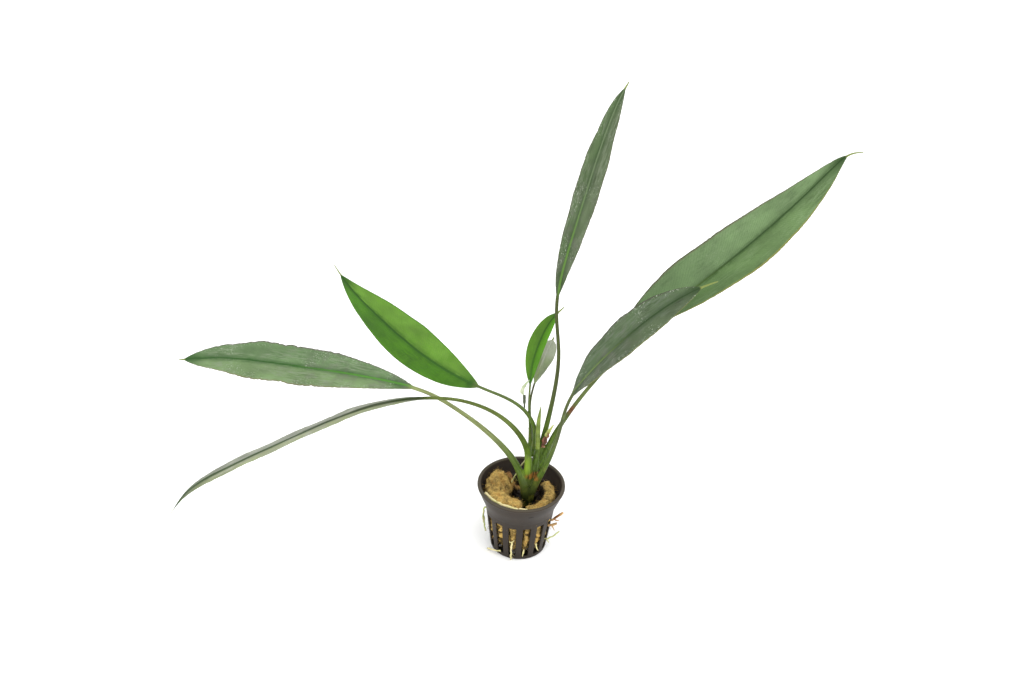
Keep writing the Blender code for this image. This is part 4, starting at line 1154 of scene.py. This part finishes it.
def stem_finish(looks):
    """Wet dark foot, olive middle and green sheathed top, with an orange scar at the front."""
    made, tree, shader = new_finish("stem_green")
    place = here(tree)
    height = add(tree, "ShaderNodeSeparateXYZ", {0: place}).outputs[2]
    long_way = add(tree, "ShaderNodeVectorMath", {0: place, 1: (1, 1, 0.12)}, operation="MULTIPLY").outputs[0]
    lines = grain(tree, long_way, 1100, 4, 0.6)
    fine = grain(tree, place, 900, 4, 0.6)
    slow = grain(tree, place, 140, 3)
    top = blend(tree, ease(tree, lines, 0.4, 0.6), tuple(looks.sheath), [c * 0.6 for c in looks.sheath])
    base = blend(tree, ease(tree, height, 0.038, 0.052), (0.006, 0.009, 0.002), tuple(c * 0.6 for c in looks.green))
    base = blend(tree, ease(tree, height, 0.050, 0.066), base, top)
    base = blend(tree, calc(tree, "MULTIPLY", ease(tree, slow, 0.5, 0.7), 0.5), base, (0.130, 0.140, 0.020))
    tall = add(tree, "ShaderNodeVectorMath", {0: place, 1: (1, 1, 0.4)}, operation="MULTIPLY").outputs[0]
    centre = (FRESH_PLACE[0], FRESH_PLACE[1], FRESH_PLACE[2] * 0.4)
    fresh = add(tree, "ShaderNodeVectorMath", {0: tall, 1: centre}, operation="DISTANCE").outputs["Value"]
    fresh = calc(tree, "ADD", fresh, calc(tree, "MULTIPLY", lines, 0.002))
    base = blend(tree, calc(tree, "MULTIPLY", ease(tree, fresh, 0.006, 0.0015), 0.7), base, (0.200, 0.310, 0.020))
    squashed = add(tree, "ShaderNodeVectorMath", {0: place, 1: (0.7, 0.7, 1.5)}, operation="MULTIPLY").outputs[0]
    centre = [a * b for a, b in zip(SCAR_PLACE, (0.7, 0.7, 1.5))]
    scar = add(tree, "ShaderNodeVectorMath", {0: squashed, 1: centre}, operation="DISTANCE").outputs["Value"]
    scar = calc(tree, "ADD", scar, calc(tree, "MULTIPLY", fine, 0.003))
    bark = blend(tree, ease(tree, lines, 0.42, 0.6), (0.27, 0.115, 0.022), (0.045, 0.020, 0.006))
    base = blend(tree, calc(tree, "MULTIPLY", ease(tree, scar, 0.0062, 0.0036), 0.85), base, bark)
    tree.links.new(base, shader.inputs["Base Color"])
    join(tree, shader.inputs["Roughness"], calc(tree, "MULTIPLY_ADD", fine, 0.25, 0.2))
    shader.inputs["Specular IOR Level"].default_value = 0.2
    relief(tree, shader, calc(tree, "ADD", fine, lines), 0.0003, 0.6)
    return made


def sheath_finish(looks):
    """A brown dead foot that turns into pale yellow-green paper with brown edges."""
    made, tree, shader = new_finish("dry_sheath")
    place = here(tree)
    height = add(tree, "ShaderNodeSeparateXYZ", {0: place}).outputs[2]
    fine = grain(tree, place, 1200, 4, 0.65)
    height = calc(tree, "ADD", height, calc(tree, "MULTIPLY", grain(tree, place, 500, 3), 0.012))
    height = calc(tree, "SUBTRACT", height, 0.003)
    paper = blend(tree, ease(tree, fine, 0.35, 0.65), tuple(looks.paper), [c * 0.55 for c in looks.paper])
    dead = blend(tree, ease(tree, fine, 0.4, 0.6), (0.120, 0.032, 0.010), (0.045, 0.016, 0.006))
    pink = blend(tree, ease(tree, height, 0.0810, 0.0790), dead, (0.30, 0.15, 0.09))
    tree.links.new(blend(tree, ease(tree, height, 0.0875, 0.0895), pink, paper), shader.inputs["Base Color"])
    shader.inputs["Roughness"].default_value = 0.7
    relief(tree, shader, fine, 0.0002, 0.6)
    return made


def make_crown(looks):
    """Rhizome and stalk feet grown together, then the rolled shoot and the dry sheath."""
    points, faces = loft(STEM_ROUTE, STEM_RADII, LOFT_STEPS, LOFT_POINTS)
    bodies = [(points, faces)]
    for leaf in LEAVES:
        route = smooth_route(leaf.route, ROUTE_STEPS)
        along = distances(route)
        foot = [point_at(route, along, STEM_FEET * i / 4)[0] for i in range(5)]
        clasps = foot[0].z < CLASPING_BELOW
        base = Vector(STEM_ROUTE[1] if clasps else STEM_ROUTE[3])
        lowest = foot[0].lerp(base, 0.5)
        lowest.z = foot[0].z - (CLASP_DEPTH if clasps else 3)
        radius = leaf.stalk[0] / 2 + FOOT_SWELL + STEM_FOOT_EXTRA
        radii = [radius * share for share in (1.1, 1.06, 1.0, 0.93, 0.87, 0.78)]
        bodies.append(loft([lowest, *foot], radii, 4, LOFT_POINTS))
    bm = bmesh.new()
    for points, faces in bodies:
        verts = [bm.verts.new(point * MM) for point in points]
        for face in faces:
            bm.faces.new([verts[i] for i in face])
    mesh = bpy.data.meshes.new("stem_grown")
    bmesh.ops.recalc_face_normals(bm, faces=bm.faces)
    bm.to_mesh(mesh)
    bm.free()
    stem = bpy.data.objects.new("stem_grown", mesh)
    bpy.context.scene.collection.objects.link(stem)
    remesh = stem.modifiers.new("union", "REMESH")
    remesh.mode = "VOXEL"
    remesh.voxel_size = looks.voxel
    soften = stem.modifiers.new("soften", "SMOOTH")
    soften.factor = 0.5
    soften.iterations = 6
    settled(stem)
    stem.data.shade_smooth()
    stem.data.materials.clear()
    stem.data.materials.append(stem_finish(looks))
    finish_piece(stem, "stem_green", "stem")
    points, faces = loft(SHOOT_ROUTE, SHOOT_RADII, LOFT_STEPS, LOFT_POINTS, lump=0.05)
    shoot = mesh_object("new_shoot_rolled", points, faces)
    shoot.data.materials.append(skin_finish("new_shoot", (0.085, 0.130, 0.010), (0.150, 0.210, 0.018), 0.4))
    finish_piece(shoot, "leaf_bright", "new_shoot")
    points, faces = loft(SHEATH_ROUTE, SHEATH_RADII, LOFT_STEPS, LOFT_POINTS, lump=0.45, flatten=0.2,
                         wander=SHEATH_WANDER)
    sheath = mesh_object("dry_sheath_papery", points, faces)
    sheath.data.materials.append(sheath_finish(looks))
    finish_piece(sheath, "sheath_straw", "dry_sheath")
    make_torn_bits()


def make_torn_bits():
    """The flap and the shred at the neck of the small bright leaf, and crumbs of the dead sheath."""
    for name, slot, route, radii, colour, dark in TORN_BITS:
        points, faces = loft(route, radii, LOFT_STEPS, LOFT_POINTS, lump=0.3, flatten=0.15)
        obj = mesh_object(name, points, faces)
        obj.data.materials.append(skin_finish(name, colour, dark, 0.5))
        finish_piece(obj, slot)


def make_floor(colour):
    bpy.ops.mesh.primitive_plane_add(size=12)
    floor = bpy.context.object
    floor.name = "floor"
    made, tree, shader = new_finish("floor")
    shader.inputs["Base Color"].default_value = (*colour, 1)
    shader.inputs["Roughness"].default_value = 0.9
    floor.data.materials.append(made)
    floor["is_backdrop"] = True


def make_light(name, place, size, power):
    data = bpy.data.lights.new(name, "AREA")
    data.size = size
    data.energy = power
    light = bpy.data.objects.new(name, data)
    light.location = place
    light.rotation_euler = (Vector((0, 0.03, 0.12)) - light.location).to_track_quat("-Z", "Y").to_euler()
    bpy.context.scene.collection.objects.link(light)


def make_world(strength):
    world = bpy.data.worlds.new("soft_white")
    world.use_nodes = True
    background = world.node_tree.nodes["Background"]
    background.inputs["Color"].default_value = (1, 1, 1, 1)
    background.inputs["Strength"].default_value = strength
    bpy.context.scene.world = world


def make_camera(lens):
    pitch, roll = math.radians(CAMERA_PITCH), math.radians(CAMERA_ROLL)
    forward = Vector((0, math.cos(pitch), -math.sin(pitch)))
    level, above = Vector((1, 0, 0)), Vector((0, math.sin(pitch), math.cos(pitch)))
    right = level * math.cos(roll) + above * math.sin(roll)
    up = above * math.cos(roll) - level * math.sin(roll)
    data = bpy.data.cameras.new("camera")
    data.lens = lens
    data.sensor_width = SENSOR_WIDTH
    data.clip_start = 0.05
    data.clip_end = 30
    camera = bpy.data.objects.new("camera", data)
    turn = Matrix((right, up, -forward)).transposed().to_4x4()
    camera.matrix_world = Matrix.Translation(Vector(CAMERA_PLACE) * MM) @ turn
    bpy.context.scene.collection.objects.link(camera)
    bpy.context.scene.camera = camera


def colour_input(name, description, default):
    return FloatVectorProperty(
        name=name, description=description, subtype="COLOR", size=3, min=0, max=1, default=default)


class PotLooks(bpy.types.PropertyGroup):
    plastic: colour_input("Plastic", "Colour of the moulded pot", SLOT_COLOURS["pot_plastic"])
    tone: FloatProperty(name="Tone", description="Lightness of the plastic", default=0.32, min=0)
    sheen: FloatProperty(name="Sheen", description="How much the plastic reflects", default=0.09,
                         min=0, max=1)
    slots: IntProperty(name="Slots", description="Number of slots in the wall", default=SLOTS, min=3)


class WoolLooks(bpy.types.PropertyGroup):
    ochre: colour_input("Ochre", "Colour of the front chunks", SLOT_COLOURS["wool_ochre"])
    bright: colour_input("Bright lumps", "Colour of the brightest lumps", (0.62, 0.42, 0.12))
    rust: colour_input("Rust", "Colour of the chunk at the back", SLOT_COLOURS["wool_rust"])
    voxel: FloatProperty(name="Mesh size", description="Size of the wool's mesh cells",
                         default=0.0007, unit="LENGTH", precision=5)
    lump: FloatProperty(name="Lumps", description="Height of the torn lumps", default=0.0009,
                        unit="LENGTH", precision=5)
    fibre_length: FloatProperty(name="Fibre length", description="Length of a loose fibre",
                                default=0.0032, unit="LENGTH", precision=5)
    fibre_radius: FloatProperty(name="Fibre radius", description="Radius of a loose fibre",
                                default=0.00005, unit="LENGTH", precision=6)
    fibre_density: FloatProperty(name="Fibres", description="Loose fibres to a square metre",
                                 default=450000)


class CrownLooks(bpy.types.PropertyGroup):
    green: colour_input("Stem", "Colour of the rhizome", SLOT_COLOURS["stem_green"])
    sheath: colour_input("Sheaths", "Colour of the clasping stalk feet", (0.070, 0.125, 0.012))
    paper: colour_input("Dry sheath", "Colour of the papery sheath", (0.42, 0.46, 0.12))
    voxel: FloatProperty(name="Mesh size", description="Size of the rhizome's mesh cells",
                         default=0.0004, unit="LENGTH", precision=5)


class LeafLooks(bpy.types.PropertyGroup):
    lime: colour_input("Lime", "Colour of the dried lime specks", (0.85, 0.95, 0.75))
    stain: colour_input("Stains", "Colour of the stains on the stalks", (0.10, 0.07, 0.03))
    tone: FloatProperty(name="Tone", description="Lightness of all leaves", default=0.58, min=0)
    bloom: FloatProperty(name="Bloom", description="Strength of the greyish bloom on the skin",
                         default=0.45, min=0, max=1)
    foot: colour_input("Stalk feet", "Colour of the stalks where they join the stem", (0.125, 0.220, 0.020))
    roughness: FloatProperty(name="Roughness", description="Roughness of the leaf skin", default=0.36,
                             min=0, max=1)
    sheen: FloatProperty(name="Sheen", description="How much the leaf skin reflects", default=0.17,
                         min=0, max=1)


class RootLooks(bpy.types.PropertyGroup):
    cream: colour_input("Cream", "Colour of fresh roots", SLOT_COLOURS["root_cream"])
    orange: colour_input("Orange", "Colour of the orange root", SLOT_COLOURS["root_orange"])
    brown: colour_input("Brown", "Colour of the old root", SLOT_COLOURS["root_brown"])
    green: colour_input("Green", "Colour of roots in the light", SLOT_COLOURS["root_green"])
    rootlet_length: FloatProperty(name="Rootlet length", description="Length of a fine side root",
                                  default=0.0026, unit="LENGTH", precision=5)
    rootlet_radius: FloatProperty(name="Rootlet radius", description="Radius of a fine side root",
                                  default=0.0001, unit="LENGTH", precision=6)
    rootlet_density: FloatProperty(name="Rootlets", description="Fine side roots to a square metre",
                                   default=60000)


class StudioLooks(bpy.types.PropertyGroup):
    floor: colour_input("Floor", "Colour of the plain floor", (0.94, 0.94, 0.94))
    sky: FloatProperty(name="Surround", description="Brightness of the white surround",
                       default=1.3)
    key: FloatProperty(name="Key light", description="Power of the main light", default=11.0, unit="POWER")
    lens: FloatProperty(name="Lens", description="Focal length", default=70.0, unit="CAMERA")


class Looks(bpy.types.PropertyGroup):
    pot: PointerProperty(type=PotLooks)
    wool: PointerProperty(type=WoolLooks)
    crown: PointerProperty(type=CrownLooks)
    leaves: PointerProperty(type=LeafLooks)
    roots: PointerProperty(type=RootLooks)
    studio: PointerProperty(type=StudioLooks)


class ARIDARUM_OT_pot(bpy.types.Operator):
    """Mould the slotted net pot"""

    bl_idname = "aridarum.pot"
    bl_label = "Net pot"

    def execute(self, context):
        make_pot(context.scene.aridarum.pot)
        return {"FINISHED"}


class ARIDARUM_OT_wool(bpy.types.Operator):
    """Tear the three chunks of mineral wool"""

    bl_idname = "aridarum.wool"
    bl_label = "Mineral wool"

    def execute(self, context):
        for name in WOOL_SLOTS:
            make_wool(name, context.scene.aridarum.wool)
        return {"FINISHED"}


class ARIDARUM_OT_crown(bpy.types.Operator):
    """Grow the rhizome, the rolled shoot and the dry sheath"""

    bl_idname = "aridarum.crown"
    bl_label = "Crown"

    def execute(self, context):
        make_crown(context.scene.aridarum.crown)
        return {"FINISHED"}


class ARIDARUM_OT_leaves(bpy.types.Operator):
    """Grow the eight leaves on their stalks"""

    bl_idname = "aridarum.leaves"
    bl_label = "Leaves"

    def execute(self, context):
        for seed, leaf in enumerate(LEAVES):
            make_leaf(leaf, seed, context.scene.aridarum.leaves)
        return {"FINISHED"}


class ARIDARUM_OT_roots(bpy.types.Operator):
    """Grow the roots"""

    bl_idname = "aridarum.roots"
    bl_label = "Roots"

    def execute(self, context):
        make_roots(context.scene.aridarum.roots)
        return {"FINISHED"}


class ARIDARUM_OT_studio(bpy.types.Operator):
    """Set the pale floor, the soft light and the camera"""

    bl_idname = "aridarum.studio"
    bl_label = "Studio"

    def execute(self, context):
        looks = context.scene.aridarum.studio
        make_floor(looks.floor)
        make_world(looks.sky)
        make_light("key", (0.5, -0.3, 1.3), 1.2, looks.key)
        make_light("fill", (-0.9, -0.7, 0.7), 1.2, looks.key * 0.5)
        make_camera(looks.lens)
        context.scene.view_settings.view_transform = "Standard"
        return {"FINISHED"}


class ARIDARUM_PT_build(bpy.types.Panel):
    """Buttons for each piece, in building order"""

    bl_label = "Potted aridarum"
    bl_idname = "ARIDARUM_PT_build"
    bl_space_type = "VIEW_3D"
    bl_region_type = "UI"
    bl_category = "Aridarum"

    def draw(self, context):
        for step in STEPS:
            self.layout.operator(step.bl_idname)


STEPS = (
    ARIDARUM_OT_studio, ARIDARUM_OT_pot, ARIDARUM_OT_wool, ARIDARUM_OT_crown, ARIDARUM_OT_leaves,
    ARIDARUM_OT_roots,
)
GROUPS = (PotLooks, WoolLooks, CrownLooks, LeafLooks, RootLooks, StudioLooks, Looks)


def register():
    for each in (*GROUPS, *STEPS, ARIDARUM_PT_build):
        bpy.utils.register_class(each)
    bpy.types.Scene.aridarum = PointerProperty(type=Looks)


def unregister():
    del bpy.types.Scene.aridarum
    for each in reversed((*GROUPS, *STEPS, ARIDARUM_PT_build)):
        bpy.utils.unregister_class(each)


def main():
    register()
    for step in STEPS:
        group, name = step.bl_idname.split(".")
        getattr(getattr(bpy.ops, group), name)()
    boxes = {"cad": CAD_BOX, "visual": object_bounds()}
    {key: [list(corner) for corner in box] for key, box in boxes.items()}


if __name__ == "__main__":
    main()
